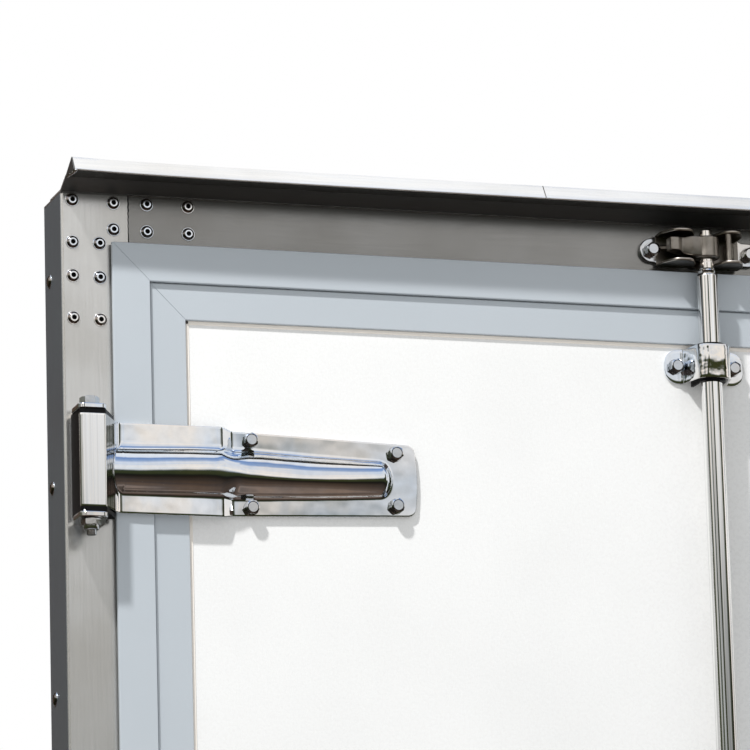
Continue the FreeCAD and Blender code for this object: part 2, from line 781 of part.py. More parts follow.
def make_keeper():
    """The upper keeper: base plate with round ears, two pairs of half-moon flanges with a slot
    between them for the rod, an upright pin in the outer pair and the stop block behind it."""
    z = HEIGHT - CAM_FROM_END
    back = FRONT
    face = FRONT - KEEPER_BASE
    outer = KEEPER_JAW + KEEPER_FLANGE
    left = ROD_X - JAW_LEFT_AT - JAW_LEFT_HALF
    right = ROD_X + JAW_RIGHT_AT + JAW_RIGHT_HALF
    pieces = [box(left, right, face, back, z - outer, z + outer)]
    for x, way in ((ROD_X - KEEPER_BOLT, left), (ROD_X + KEEPER_BOLT, right)):
        ear = Part.makeCylinder(KEEPER_EAR, KEEPER_BASE, Vector(x, face, z), Vector(0, 1, 0))
        x0, x1 = sorted((x, way))
        neck = box(x0, x1, face, back, z - KEEPER_EAR, z + KEEPER_EAR)
        pieces += [ear, neck]
    for x, half in (
        (ROD_X - JAW_LEFT_AT, JAW_LEFT_HALF),
        (ROD_X + JAW_RIGHT_AT, JAW_RIGHT_HALF),
    ):
        pieces.append(half_moon(x, half, z + KEEPER_JAW, z + outer))
        pieces.append(half_moon(x, half, z - outer, z - KEEPER_JAW))
    pin_x = ROD_X + KEEPER_PIN_IN
    pin_y = FRONT - KEEPER_PIN_OUT
    pieces.append(upright(pin_x, pin_y, z - outer, z + outer, KEEPER_PIN))
    stop = [
        (pin_x + KEEPER_PIN + 2, face, 0.0),
        (pin_x + KEEPER_PIN + 1, FRONT - KEEPER_BLOCK_OUT, 2.0),
        (pin_x + KEEPER_PIN + KEEPER_BLOCK - 2, FRONT - KEEPER_BLOCK_OUT, 2.0),
        (pin_x + KEEPER_PIN + KEEPER_BLOCK, face, 0.0),
    ]
    pieces.append(plan_prism(stop, z - KEEPER_BLOCK_HALF, z + KEEPER_BLOCK_HALF))
    slot = box(
        ROD_X - KEEPER_SLOT, ROD_X + KEEPER_SLOT, FRONT - KEEPER_REACH - 1, face, z - outer, z + outer
    )
    return fused(pieces).cut(slot)


def guide_sizes():
    """Outer radius of the bush and of the loop round it."""
    bush = ROD_RADIUS + RUNNING_GAP + BUSH_WALL
    return bush, bush + GUIDE_SHEET


def make_guide(z):
    """One rod guide: a strip bent over the rod, with a flat rounded ear each side."""
    bush, loop = guide_sizes()
    low = z - GUIDE_HALF_TALL
    high = z + GUIDE_HALF_TALL
    wide = GUIDE_HALF_WIDE
    ears = front_prism(
        [
            (ROD_X - wide, low, GUIDE_CORNER),
            (ROD_X + wide, low, GUIDE_CORNER),
            (ROD_X + wide, high, GUIDE_CORNER),
            (ROD_X - wide, high, GUIDE_CORNER),
        ],
        SKIN - GUIDE_SHEET,
        SKIN,
    )
    legs = plan_prism(
        [
            (ROD_X - loop, ROD_Y, 0.0),
            (ROD_X + loop, ROD_Y, 0.0),
            (ROD_X + loop, SKIN - GUIDE_SHEET, GUIDE_FOOT),
            (ROD_X + loop + GUIDE_FOOT + 1, SKIN - GUIDE_SHEET, 0.0),
            (ROD_X + loop + GUIDE_FOOT + 1, SKIN, 0.0),
            (ROD_X - loop - GUIDE_FOOT - 1, SKIN, 0.0),
            (ROD_X - loop - GUIDE_FOOT - 1, SKIN - GUIDE_SHEET, 0.0),
            (ROD_X - loop, SKIN - GUIDE_SHEET, GUIDE_FOOT),
        ],
        low,
        high,
    )
    crown = upright(ROD_X, ROD_Y, low, high, loop)
    room = box(ROD_X - bush, ROD_X + bush, ROD_Y, SKIN + 1, low - 1, high + 1)
    round_room = upright(ROD_X, ROD_Y, low - 1, high + 1, bush)
    return fused([ears, legs, crown]).cut(room).cut(round_room)


def make_bush(z):
    """The nylon block inside a guide, bored for the rod."""
    bush, _ = guide_sizes()
    low = z - GUIDE_HALF_TALL - BUSH_PROUD
    high = z + GUIDE_HALF_TALL + BUSH_PROUD
    block = box(ROD_X - bush, ROD_X + bush, ROD_Y, SKIN, low, high)
    crown = upright(ROD_X, ROD_Y, low, high, bush)
    bore = upright(ROD_X, ROD_Y, low - 1, high + 1, ROD_RADIUS + RUNNING_GAP)
    return fused([block, crown]).cut(bore)


def handle_front():
    """The y of the long bar's front face."""
    return ROD_Y - HANDLE_CRANK - HANDLE_THICK / 2


def make_handle():
    """The handle: a hub clamped on the rod and a cranked flat bar towards the hinges."""
    z = HANDLE_AT
    half = HANDLE_THICK / 2
    path = [
        (ROD_X - HANDLE_LENGTH, ROD_Y - HANDLE_CRANK - half),
        (ROD_X - HANDLE_CRANK_END, ROD_Y - HANDLE_CRANK - half),
        (ROD_X - HANDLE_CRANK_START, ROD_Y - half),
        (ROD_X, ROD_Y - half),
    ]
    tall = HANDLE_HALF_TALL
    bar = plan_prism(folded(path, HANDLE_THICK, HANDLE_THICK), z - tall, z + tall)
    outline = [
        (ROD_X - HANDLE_LENGTH, z - tall, tall * 0.8),
        (ROD_X, z - tall, 0.0),
        (ROD_X, z + tall, 0.0),
        (ROD_X - HANDLE_LENGTH, z + tall, tall * 0.8),
    ]
    bar = bar.common(front_prism(outline, ROD_Y - 50, ROD_Y + 50))
    hub = upright(ROD_X, ROD_Y, z - HUB_HALF_TALL, z + HUB_HALF_TALL, HUB_RADIUS)
    bore = upright(
        ROD_X, ROD_Y, z - HUB_HALF_TALL - 1, z + HUB_HALF_TALL + 1, ROD_RADIUS + RUNNING_GAP
    )
    return fused([hub, bar]).cut(bore)


def make_catch():
    """The catch for the handle: a channel on the leaf's skin, open to the front."""
    x = ROD_X - HANDLE_LENGTH + CATCH_FROM_TIP
    gap = HANDLE_HALF_TALL + CATCH_GAP
    front = handle_front() - CATCH_PAST
    foot_low = HANDLE_AT - gap - CATCH_SHEET - CATCH_FOOT
    foot_high = HANDLE_AT + gap + CATCH_SHEET + CATCH_FOOT
    base = front_prism(
        [
            (x - CATCH_HALF_WIDE, foot_low, 5.0),
            (x + CATCH_HALF_WIDE, foot_low, 5.0),
            (x + CATCH_HALF_WIDE, foot_high, 5.0),
            (x - CATCH_HALF_WIDE, foot_high, 5.0),
        ],
        SKIN - CATCH_SHEET,
        SKIN,
    )
    cheek = [
        (x - CATCH_HALF_WIDE, SKIN, 0.0),
        (x - CATCH_HALF_WIDE * 0.6, front, 6.0),
        (x + CATCH_HALF_WIDE * 0.6, front, 6.0),
        (x + CATCH_HALF_WIDE, SKIN, 0.0),
    ]
    over = plan_prism(cheek, HANDLE_AT + gap, HANDLE_AT + gap + CATCH_SHEET)
    under = plan_prism(cheek, HANDLE_AT - gap - CATCH_SHEET, HANDLE_AT - gap)
    return fused([base, over, under])


def main():
    os.makedirs("parts", exist_ok=True)
    write_pair("post", make_post())
    write("header", make_header())
    write("sill", make_sill())
    write("visor", make_visor())
    side_core, top_core, bottom_core = make_cores()
    write_pair("core", side_core)
    write("core_top", top_core)
    write("core_bottom", bottom_core)
    side_jamb, top_jamb, threshold = make_jambs()
    write_pair("jamb", side_jamb)
    write("jamb_top", top_jamb)
    write("threshold", threshold)

    write_pair("hinge_brackets", *at_hinges(make_bracket()))
    write_pair("hinge_pins", *at_hinges(make_hinge_pin()))
    write_pair("hinge_straps", *at_hinges(make_strap()))
    write_pair("hinge_inserts", *at_hinges(make_insert()))

    write_pair("panel", make_panel())
    write_pair("edge_frame", make_edge_frame())
    write_pair("cover_strip", make_cover_strip())
    write_pair("seal", make_seal())
    write_pair("rod_guides", *[make_guide(z) for z in GUIDE_HEIGHTS])
    write_pair("guide_bushes", *[make_bush(z) for z in GUIDE_HEIGHTS])
    write_pair("handle_catch", make_catch())

    write_pair("lock_rod", make_rod())
    stub = make_stub()
    write_pair("lock_stubs", stub, top_for_bottom(stub))
    cam = make_cam()
    write_pair("lock_cams", cam, top_for_bottom(cam))
    write_pair("lock_handle", make_handle())
    keeper = make_keeper()
    write_pair("keeper_top", keeper)
    write_pair("keeper_bottom", top_for_bottom(keeper))


main()
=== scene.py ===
"""Dresses the rear door frame of a refrigerated truck body.

It gives the solids their finishes, makes the pressed, turned and cast hardware in full detail,
adds the fasteners, and sets the stage. Lengths passed to the modelling helpers are millimetres.
"""

import json
import math

import bpy
from bpy.props import FloatProperty, FloatVectorProperty, PointerProperty
from bpy.types import Operator, Panel, PropertyGroup
from mathutils import Matrix, Vector


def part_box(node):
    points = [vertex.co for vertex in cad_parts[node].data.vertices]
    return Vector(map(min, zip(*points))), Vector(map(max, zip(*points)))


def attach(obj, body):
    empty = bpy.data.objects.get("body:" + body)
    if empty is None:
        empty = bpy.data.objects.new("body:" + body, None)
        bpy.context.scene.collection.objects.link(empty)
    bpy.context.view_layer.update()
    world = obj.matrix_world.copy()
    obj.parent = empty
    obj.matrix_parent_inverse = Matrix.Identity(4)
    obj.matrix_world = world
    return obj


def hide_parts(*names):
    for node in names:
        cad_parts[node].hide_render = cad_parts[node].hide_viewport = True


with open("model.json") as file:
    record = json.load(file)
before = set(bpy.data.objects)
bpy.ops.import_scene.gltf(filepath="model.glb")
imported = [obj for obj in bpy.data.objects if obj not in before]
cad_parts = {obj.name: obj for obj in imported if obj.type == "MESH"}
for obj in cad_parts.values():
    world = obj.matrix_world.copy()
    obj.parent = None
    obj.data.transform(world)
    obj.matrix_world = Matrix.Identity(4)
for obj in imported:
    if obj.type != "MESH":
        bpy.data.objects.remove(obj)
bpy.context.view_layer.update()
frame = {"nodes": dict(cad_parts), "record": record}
NODES = frame["nodes"]

bl_info = {
    "name": "Refrigerated Body Rear Doors",
    "version": (1, 0, 0),
    "blender": (4, 5, 0),
    "location": "View3D > Sidebar > Rear Doors",
    "description": "Finishes, hardware and fasteners for a stainless rear door frame",
    "category": "Object",
}

MM = 0.001
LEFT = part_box("post_left")[0][0]
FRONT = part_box("post_left")[0][1]
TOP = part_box("header")[1][2]
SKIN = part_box("panel_left")[0][1]
SIDES = (("left", 1), ("right", -1))


def middle_of(node):
    """The middle of a node's box."""
    low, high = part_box(node)
    return Vector([(a + b) / 2 for a, b in zip(low, high)])


ROD = middle_of("lock_rod_left")
HANDLE_Z = middle_of("lock_handle_left").z
HINGE_DROP = 279.5 * MM
HINGE_HEIGHTS = (HINGE_DROP, TOP / 2, TOP - HINGE_DROP)
CAM_DROP = 29 * MM
GUIDE_DROP = 149.5 * MM
GUIDE_STEP = 115 * MM
GUIDE_HEIGHTS = (GUIDE_DROP, HANDLE_Z - GUIDE_STEP, HANDLE_Z + GUIDE_STEP, TOP - GUIDE_DROP)

# Where copies go: the heights given to at_frame or at_rod, and -1 where one is upside down.
HINGES = [(z,) for z in HINGE_HEIGHTS]
GUIDES = [(z,) for z in GUIDE_HEIGHTS]
ENDS = [(TOP - CAM_DROP, 1), (CAM_DROP, -1)]


def length(label, about, value):
    """A setting that is a length, its default given in millimetres."""
    return FloatProperty(name=label, description=about, default=value * MM, unit="LENGTH", precision=4)


def colour(label, about, value):
    """A setting that is a colour."""
    return FloatVectorProperty(name=label, description=about, subtype="COLOR", default=value)


def amount(label, about, value):
    """A setting without a unit."""
    return FloatProperty(name=label, description=about, default=value, precision=3)


class HingeSettings(PropertyGroup):
    """The pressed strap hinges and their pins."""

    strap_sheet: length("Strap sheet", "Thickness of the strap's sheet", 4.5)
    rib_half: length("Rib half width", "Half the width of the pressed rib at its root", 27)
    rib_tip_half: length("Rib tip half width", "Half the rib's width where its nose begins", 20)
    rib_crest: length("Rib crest", "How far the rib stands off the frame's face", 26)
    rib_tip_crest: length("Rib tip crest", "How far the rib stands off at its tip", 16.5)
    edge: length("Edge", "Rounding of the strap's rim", 0.9)
    across_flats: length("Across flats", "Width of the pin's head and nut", 17)


class VisorSettings(PropertyGroup):
    """The rain visor over the doors."""

    reach: length("Reach", "How far the visor's lip stands off the header", 55)
    rise: length("Rise", "How far the lip's foot lies above the header", 4.7)
    lip: length("Lip", "Height of the lip", 16.1)
    lean: length("Lean", "How far the lip leans back", 10)
    flange: length("Flange", "Width of the flange on the header", 40)
    sheet: length("Sheet", "Thickness of the visor's sheet", 1.5)


class LockSettings(PropertyGroup):
    """The lock rods, their cams, keepers and guides."""

    rod_radius: length("Rod radius", "Outer radius of the tube", 11)
    neck_radius: length("Neck radius", "Radius of the neck that carries the cam", 6.2)
    cam_radius: length("Cam radius", "Radius of the cam's boss", 13.5)
    guide_sheet: length("Guide sheet", "Thickness of the guide's strip", 2.5)
    keeper_flange: length("Keeper flange", "Thickness of the keeper's half-moon flanges", 3)
    keeper_gap: length("Keeper gap", "Clear height between the flanges", 28)


class FastenerSettings(PropertyGroup):
    """The rivets of the frame and the bolts of its hardware."""

    dome_radius: length("Rivet radius", "Radius of a blind rivet's head", 6.9)
    dome_height: length("Rivet height", "How far a rivet stands proud", 3)
    hole_radius: length("Hole radius", "Radius of the hole left by the mandrel", 2.4)
    flange_pitch: length("Flange pitch", "Spacing of the rivets along a flange", 209)
    bolt_across: length("Bolt across flats", "Width of a bolt's head", 13)
    bolt_height: length("Bolt height", "Height of a bolt's head", 6.8)
    washer_radius: length("Washer radius", "Radius of the washer under a bolt", 7.8)
    washer_thickness: length("Washer thickness", "Thickness of the washer", 1.2)


class FinishSettings(PropertyGroup):
    """The colours of the finishes."""

    steel: colour("Steel", "Brushed sheet", (0.75, 0.74, 0.72))
    # Painted shade: darker, bluer steel for the posts' side faces than for their fronts.
    side: colour("Side", "Brushed sheet on the posts' sides", (0.335, 0.385, 0.43))
    bright: colour("Bright steel", "Polished pressings and tube", (0.88, 0.875, 0.865))
    cast: colour("Cast steel", "Satin castings", (0.30, 0.275, 0.245))
    # Painted shade: the dark colour of a rivet's dished slope and dome.
    rivet: colour("Rivet", "Dished slope of a rivet", (0.34, 0.30, 0.27))
    # Painted shade: the near black inside a bolt's groove.
    groove: colour("Groove", "Groove in a bolt's face", (0.07, 0.06, 0.05))
    aluminium: colour("Aluminium", "Threshold", (0.6, 0.6, 0.61))
    band: colour("Band", "Pale coating of the leaf's edge sections", (0.50, 0.54, 0.575))
    skin: colour("Skin", "White gel coat of the leaf", (0.89, 0.885, 0.87))
    # Partly painted light: the bead's light cream is the sealant's own colour and also stands in for pale
    # bounce light in the cover strip's shadow.
    sealant: colour("Sealant", "Bead round the leaf's skin", (0.94, 0.87, 0.79))
    lining: colour("Lining", "Grey moulded lining", (0.30, 0.31, 0.32))
    black: colour("Black", "Nylon and rubber", (0.006, 0.006, 0.0065))
    foam: colour("Foam", "Insulation", (0.72, 0.62, 0.40))


class StageSettings(PropertyGroup):
    """The floor, the lamps and the light all round."""

    floor_size: length("Floor size", "Side of the floor", 60000)
    key_energy: amount("Key", "Power of the main lamp in watts", 214.0)
    key_size: length("Key size", "Side of the main lamp", 200)
    sky_strength: amount("Sky", "Strength of the light all round", 0.56)


def add_node(tree, kind, inputs, **settings):
    """A shader node with its settings. Each input named is fed by a socket or set to a value."""
    node = tree.nodes.new("ShaderNode" + kind)
    for key, value in settings.items():
        setattr(node, key, value)
    for key, value in inputs.items():
        if isinstance(value, bpy.types.NodeSocket):
            tree.links.new(value, node.inputs[key])
        else:
            node.inputs[key].default_value = value
    return node


def new_material(name):
    """A material with an empty tree, and the tree."""
    material = bpy.data.materials.new(name)
    material.use_nodes = True
    material.node_tree.nodes.clear()
    return material, material.node_tree


def shaded(tree, inputs):
    """Ends a material's tree with a shader that takes the inputs given."""
    shader = add_node(tree, "BsdfPrincipled", inputs)
    add_node(tree, "OutputMaterial", {"Surface": shader.outputs["BSDF"]})


def noise(tree, scale, detail=3.0, stretch=(1, 1, 1)):
    """A noise pattern on object coordinates, finer along an axis with a larger stretch."""
    place = add_node(tree, "TexCoord", {}).outputs["Object"]
    mapped = add_node(tree, "Mapping", {"Vector": place, "Scale": stretch}).outputs["Vector"]
    inputs = {"Vector": mapped, "Scale": scale, "Detail": detail}
    return add_node(tree, "TexNoise", inputs).outputs["Fac"]


def ramp(tree, source, stops):
    """Colours along a pattern's factor, from (position, colour) stops."""
    node = add_node(tree, "ValToRGB", {"Fac": source})
    elements = node.color_ramp.elements
    for element, (position, tint) in zip(elements, (stops[0], stops[-1])):
        element.position = position
        element.color = (*tint, 1.0)
    for position, tint in stops[1:-1]:
        elements.new(position).color = (*tint, 1.0)
    return node.outputs["Color"]


def times(tree, one, other):
    """The product of two colours."""
    inputs = {"Factor": 1.0, "A": one, "B": other}
    mix = add_node(tree, "Mix", inputs, data_type="RGBA", blend_type="MULTIPLY")
    return mix.outputs["Result"]


def shade(tint, factor):
    """A darker or lighter version of a colour."""
    return tuple(min(1.0, c * factor) for c in tint)


def surface(tree, constants, tone, rough, low, high, relief, height):
    """Ends a tree with a shader that has some constants, a colour, a roughness between low and
    high that follows one pattern, and a relief, its height in metres, that follows another."""
    span = {"Value": rough, "From Min": 0.3, "From Max": 0.7, "To Min": low, "To Max": high}
    roughness = add_node(tree, "MapRange", span).outputs["Result"]
    normal = add_node(tree, "Bump", {"Distance": height, "Height": relief}).outputs["Normal"]
    shaded(tree, {**constants, "Base Color": tone, "Roughness": roughness, "Normal": normal})


def brushed_sheet(tree, tint, along, low, high):
    """Stainless sheet brushed along one axis, with faint cloudy staining. Its fine scratches
    spread what it reflects across the brushing only."""
    scratches = noise(tree, 60.0, 2.0, tuple(0.4 if axis == along else 60 for axis in "XYZ"))
    grain = noise(tree, 60.0, 6.0, tuple(0.3 if axis == along else 9 for axis in "XYZ"))
    cloud = noise(tree, 9.0, 6.0)
    fine = ramp(tree, grain, [(0.35, shade(tint, 0.97)), (0.65, shade(tint, 1.02))])
    stain = ramp(tree, cloud, [(0.32, (0.90, 0.89, 0.87)), (0.6, (1, 1, 1))])
    tone = times(tree, fine, stain)
    surface(tree, {"Metallic": 0.86}, tone, cloud, high, low, scratches, 0.00003)


def polished_steel(tree, tint, roughness, ripple, scale=28.0):
    """Bright steel with the faint waviness of pressed or drawn metal."""
    wave = noise(tree, scale, 2.0)
    blotch = noise(tree, 15.0, 1.0)
    haze = noise(tree, 160.0, 4.0)
    metal = {"Metallic": 1.0}
    tone = ramp(tree, blotch, [(0.4, (0.86, 0.92, 1.0)), (0.6, (1.0, 0.965, 0.93))])
    fine = ramp(tree, haze, [(0.35, shade(tint, 0.97)), (0.65, shade(tint, 1.03))])
    tone = times(tree, fine, tone)
    surface(tree, metal, tone, haze, roughness * 0.7, roughness * 1.3, wave, ripple)


def drawn_steel(tree, tint, scale, darkest, ripple):
    """Bright steel with upright streaks, as on drawn tube and on a bent barrel."""
    metal = {"Metallic": 1.0}
    streaks = noise(tree, scale, 3.0, (1, 1, 0.012))
    tone = ramp(tree, streaks, [(0.36, shade(tint, darkest)), (0.56, tint)])
    surface(tree, metal, tone, streaks, 0.04, 0.08, streaks, ripple)


def satin_casting(tree, tint):
    """Cast stainless, tumbled to a satin with a slightly pitted skin."""
    metal = {"Metallic": 1.0}
    skin = noise(tree, 420.0, 5.0)
    cloud = noise(tree, 45.0)
    tone = ramp(tree, cloud, [(0.35, shade(tint, 0.75)), (0.65, shade(tint, 1.1))])
    surface(tree, metal, tone, cloud, 0.26, 0.4, skin, 0.0001)


def coated(tree, tint, rough, relief, scale, gloss=0.5):
    """A coated or moulded surface with slight variation and fine texture."""
    cloud = noise(tree, 7.0)
    grit = noise(tree, scale, 4.0)
    tone = ramp(tree, cloud, [(0.35, shade(tint, 0.98)), (0.65, shade(tint, 1.01))])
    constants = {"Specular IOR Level": gloss}
    surface(tree, constants, tone, grit, rough * 0.85, rough * 1.15, grit, relief)


FINISHES = {
    "stainless_brushed": (brushed_sheet, "steel", 1.0, "Z", 0.2, 0.27),
    # Painted shade: horizontally brushed steel at about half the brightness, standing for the visor's
    # shadow on the header and the dark it reflects.
    "stainless_header": (brushed_sheet, "steel", 0.485, "X", 0.2, 0.27),
    # Painted shade: the posts' side faces.
    "stainless_side": (brushed_sheet, "side", 1.0, "Z", 0.3, 0.4),
    # Painted highlight: the visor's sheet in steel brighter than the posts, standing for the glint on its
    # lip.
    "stainless_visor": (brushed_sheet, "steel", 1.28, "X", 0.16, 0.22),
    "visor_shade": (brushed_sheet, "steel", 0.19, "X", 0.3, 0.4),
    "stainless_polished": (polished_steel, "bright", 1.05, 0.05, 0.0007, 22.0),
    "stainless_barrel": (drawn_steel, "bright", 1.12, 330.0, 0.86, 0.0003),
    # Painted shade: darker streaked steel on the strap's neck.
    "stainless_neck": (drawn_steel, "bright", 0.75, 260.0, 0.6, 0.0003),
    "stainless_rod": (drawn_steel, "bright", 1.13, 250.0, 0.58, 0.00005),
    "stainless_guide": (polished_steel, "bright", 1.0, 0.06, 0.0008, 75.0),
    "stainless_rim": (polished_steel, "bright", 1.12, 0.12, 0.00001),
    # Painted shade: a rivet's slope and dome.
    "stainless_rivet": (polished_steel, "rivet", 1.0, 0.1, 0.00001),
    # Painted shade: the groove in a bolt's face.
    "rivet_groove": (polished_steel, "groove", 1.0, 0.2, 0.00002),
    "stainless_cast": (satin_casting, "cast", 1.0),
    "cast_shade": (satin_casting, "cast", 0.4),
    # Painted highlight: the keeper flanges' forward faces.
    "stainless_worn": (satin_casting, "cast", 2.2),
    "stainless_cam": (satin_casting, "cast", 1.4),
    "stainless_bolt": (polished_steel, "bright", 0.85, 0.13, 0.0001, 90),
    "edge_profile": (coated, "band", 1.0, 0.33, 0.00002, 900.0),
    "threshold_aluminium": (brushed_sheet, "aluminium", 1.0, "X", 0.3, 0.4),
    "panel_white": (coated, "skin", 1.0, 0.28, 0.00004, 240.0),
    "sealant": (coated, "sealant", 1.0, 0.5, 0.0001, 90.0),
    "pvc_grey": (coated, "lining", 1.0, 0.5, 0.00005, 600.0),
    "nylon_black": (coated, "black", 1.0, 0.4, 0.00004, 700.0, 0.1),
    "rubber_black": (coated, "black", 1.0, 0.62, 0.00008, 500.0, 0.1),
    "foam_core": (coated, "foam", 1.0, 0.85, 0.0004, 260.0),
}
MATERIALS = {}


def material_for(finish):
    """The material of a finish, made on first use. FINISHES gives its maker, a colour of the
    settings, how much lighter it is, and what else the maker needs."""
    if finish not in MATERIALS:
        maker, tint, factor, *rest = FINISHES[finish]
        tint = shade(getattr(bpy.context.scene.door_finishes, tint), factor)
        MATERIALS[finish], tree = new_material(finish)
        maker(tree, tint, *rest)
    return MATERIALS[finish]


def deselect():
    """Nothing selected, so that an operator acts only on what comes next."""
    bpy.ops.object.select_all(action="DESELECT")


def make_active(obj):
    """Selects one object alone."""
    deselect()
    obj.select_set(True)
    bpy.context.view_layer.objects.active = obj


def apply_modifier(obj, kind, **settings):
    """Adds a modifier with the given settings and applies it."""
    make_active(obj)
    modifier = obj.modifiers.new(kind.title(), kind)
    for key, value in settings.items():
        setattr(modifier, key, value)
    bpy.ops.object.modifier_apply(modifier=modifier.name)


def rounded_edges(obj, width, segments=2, angle=40):
    """Rounds the edges sharper than an angle."""
    settings = {"width": width * MM, "segments": segments, "limit_method": "ANGLE"}
    apply_modifier(obj, "BEVEL", angle_limit=math.radians(angle), **settings)


def smooth(obj, degrees=35):
    """Smooth shading with sharp edges over an angle."""
    make_active(obj)
    bpy.ops.object.shade_smooth_by_angle(angle=math.radians(degrees))


def joined(name, parts):
    """Several objects made into one."""
    deselect()
    for obj in parts:
        obj.select_set(True)
    bpy.context.view_layer.objects.active = parts[0]
    if len(parts) > 1:
        bpy.ops.object.join()
    parts[0].name = name
    return parts[0]


def added(name, add, **settings):
    """What one of Blender's add operators makes, with its place and size applied."""
    deselect()
    add(**settings)
    obj = bpy.context.active_object
    obj.name = name
    bpy.ops.object.transform_apply(location=True, rotation=True, scale=True)
    return obj


def extrude(steps):
    """Extrudes the active object's outline up through (rise, share) steps, resized by share."""
    bpy.ops.object.mode_set(mode="EDIT")
    bpy.ops.mesh.select_all(action="SELECT")
    for rise, share in steps:
        bpy.ops.mesh.extrude_region_move(TRANSFORM_OT_translate={"value": (0, 0, rise * MM)})
        bpy.ops.transform.resize(value=(share, share, 1))
    bpy.ops.mesh.select_all(action="SELECT")
    bpy.ops.mesh.normals_make_consistent(inside=False)
    bpy.ops.object.mode_set(mode="OBJECT")


def turned(name, profile, sides=24):
    """A turned form on the Z axis, through (radius, z)."""
    circle = {"vertices": sides, "radius": profile[0][0] * MM, "fill_type": "NGON"}
    foot = (0, 0, profile[0][1] * MM)
    obj = added(name, bpy.ops.mesh.primitive_circle_add, location=foot, **circle)
    extrude([(b[1] - a[1], b[0] / a[0]) for a, b in zip(profile, profile[1:])])
    return obj


# The widest turn of one step round a corner, in degrees.
ARC_STEP = 11


def rounded_line(corners, closed=True, step=None):
    """Points along a line through (u, v, radius) corners, each rounded in short steps. step(u)
    gives the longest straight stretch wanted near u."""
    points = []
    for i, (u, v, radius) in enumerate(corners):
        here = Vector((u, v))
        if radius == 0 or (not closed and i in (0, len(corners) - 1)):
            points.append(here)
            continue
        before = (Vector(corners[i - 1][:2]) - here).normalized()
        after = (Vector(corners[(i + 1) % len(corners)][:2]) - here).normalized()
        half = before.angle(after) / 2
        centre = here + (before + after).normalized() * (radius / math.sin(half))
        cut = radius / math.tan(half)
        start = here + before * cut - centre
        end = here + after * cut - centre
        begin = math.atan2(start.y, start.x)
        sweep = (math.atan2(end.y, end.x) - begin + math.pi) % (2 * math.pi) - math.pi
        steps = max(2, math.ceil(abs(math.degrees(sweep)) / ARC_STEP))
        for k in range(steps + 1):
            angle = begin + sweep * k / steps
            points.append(centre + radius * Vector((math.cos(angle), math.sin(angle))))
    if step is None:
        return points
    fine = [points[0]]
    for a, b in zip(points, points[1:]):
        whole = (b - a).length
        if whole > step((a.x + b.x) / 2):
            walked = 0.0
            while whole - walked > step(a.x + (b.x - a.x) * walked / whole) * 1.5:
                walked += step(a.x + (b.x - a.x) * walked / whole)
                fine.append(a.lerp(b, walked / whole))
        fine.append(b)
    return fine


def mirrored(half, middle=0.0):
    """The corners of half an outline, and their mirror images about u = middle."""
    return half + [(2 * middle - u, v, radius) for u, v, radius in reversed(half)]


def shaped(name, corners, low, high, edge=0.6, segments=2):
    """A block whose outline is drawn in plan through (x, y, radius) corners, between two
    heights, with rounded edges."""
    points = rounded_line(corners)
    circle = {"vertices": len(points), "radius": 1, "fill_type": "NGON"}
    obj = added(name, bpy.ops.mesh.primitive_circle_add, **circle)
    for vertex, point in zip(obj.data.vertices, points):
        vertex.co = Vector((point.x, point.y, low)) * MM
    extrude([(high - low, 1)])
    if edge:
        rounded_edges(obj, edge, segments)
    return obj


def shaped_in_front(name, corners, proud_from, proud_to, edge=0.6):
    """A block whose outline is drawn in the front view through (x, z, radius) corners."""
    obj = shaped(name, corners, proud_from, proud_to, edge)
    obj.data.transform(Matrix.Rotation(math.pi / 2, 4, "X"))
    return obj


def pressed(name, path, rows, place, sheet, edge):
    """A pressed sheet: a grid whose columns follow path. place(x, y, share) gives the point of
    the front face at share, from -1 at the bottom to 1 at the top. The sheet lies behind it."""
    columns = len(path) - 1
    grid = {"x_subdivisions": columns, "y_subdivisions": rows, "size": 2}
    obj = added(name, bpy.ops.mesh.primitive_grid_add, **grid)
    for vertex in obj.data.vertices:
        point = path[round((vertex.co.x + 1) / 2 * columns)]
        vertex.co = Vector(place(point.x, point.y, vertex.co.y)) * MM
    apply_modifier(obj, "SOLIDIFY", thickness=sheet * MM, offset=-1, use_even_offset=True)
    rounded_edges(obj, edge, 2, 55)
    smooth(obj, 40)
    return obj


def hexagon_head(name, across, low, high, both=False, turn=0.0):
    """A hexagonal head with a turned chamfer on its top, or on both its ends, and a fine groove
    round its face, painted near black as painted shade."""
    corner = across / math.sqrt(3)
    prism = {"vertices": 6, "radius": corner * MM, "depth": (high - low) * MM}
    middle = (0, 0, (low + high) / 2 * MM)
    head = added(name, bpy.ops.mesh.primitive_cylinder_add, location=middle, **prism)
    head.data.transform(Matrix.Rotation(turn, 4, "Z"))
    cut = 0.12 * across
    face = across * 0.385
    profile = [(corner * 1.1, low), (corner * 1.1, high - cut * 0.9), (face + 0.7, high)]
    profile += [(face + 0.55, high - 0.3), (face, high - 0.3), (face - 0.1, high + 0.05)]
    if both:
        profile = [(across * 0.46, low), (corner * 1.1, low + cut * 0.6)] + profile[1:]
    cone = turned("chamfer", profile, 40)
    apply_modifier(head, "BOOLEAN", operation="INTERSECT", object=cone)
    bpy.data.objects.remove(cone)
    inner, outer = (face - 0.12) * MM, (face + 0.6) * MM
    paint(head, "stainless_bolt")
    # The groove is painted near black as painted shade.
    paint(head, "rivet_groove", lambda c, n: c.z > (high - 0.35) * MM and inner < c.xy.length < outer)
    return head


def paint(obj, finish, wanted=None):
    """Gives a piece a finish, or only the faces for which wanted(centre, normal) is true."""
    material = material_for(finish)
    if wanted is None:
        obj.data.materials.clear()
        obj.data.materials.append(material)
        return
    obj.data.materials.append(material)
    index = len(obj.data.materials) - 1
    for face in obj.data.polygons:
        if wanted(face.center, face.normal):
            face.material_index = index


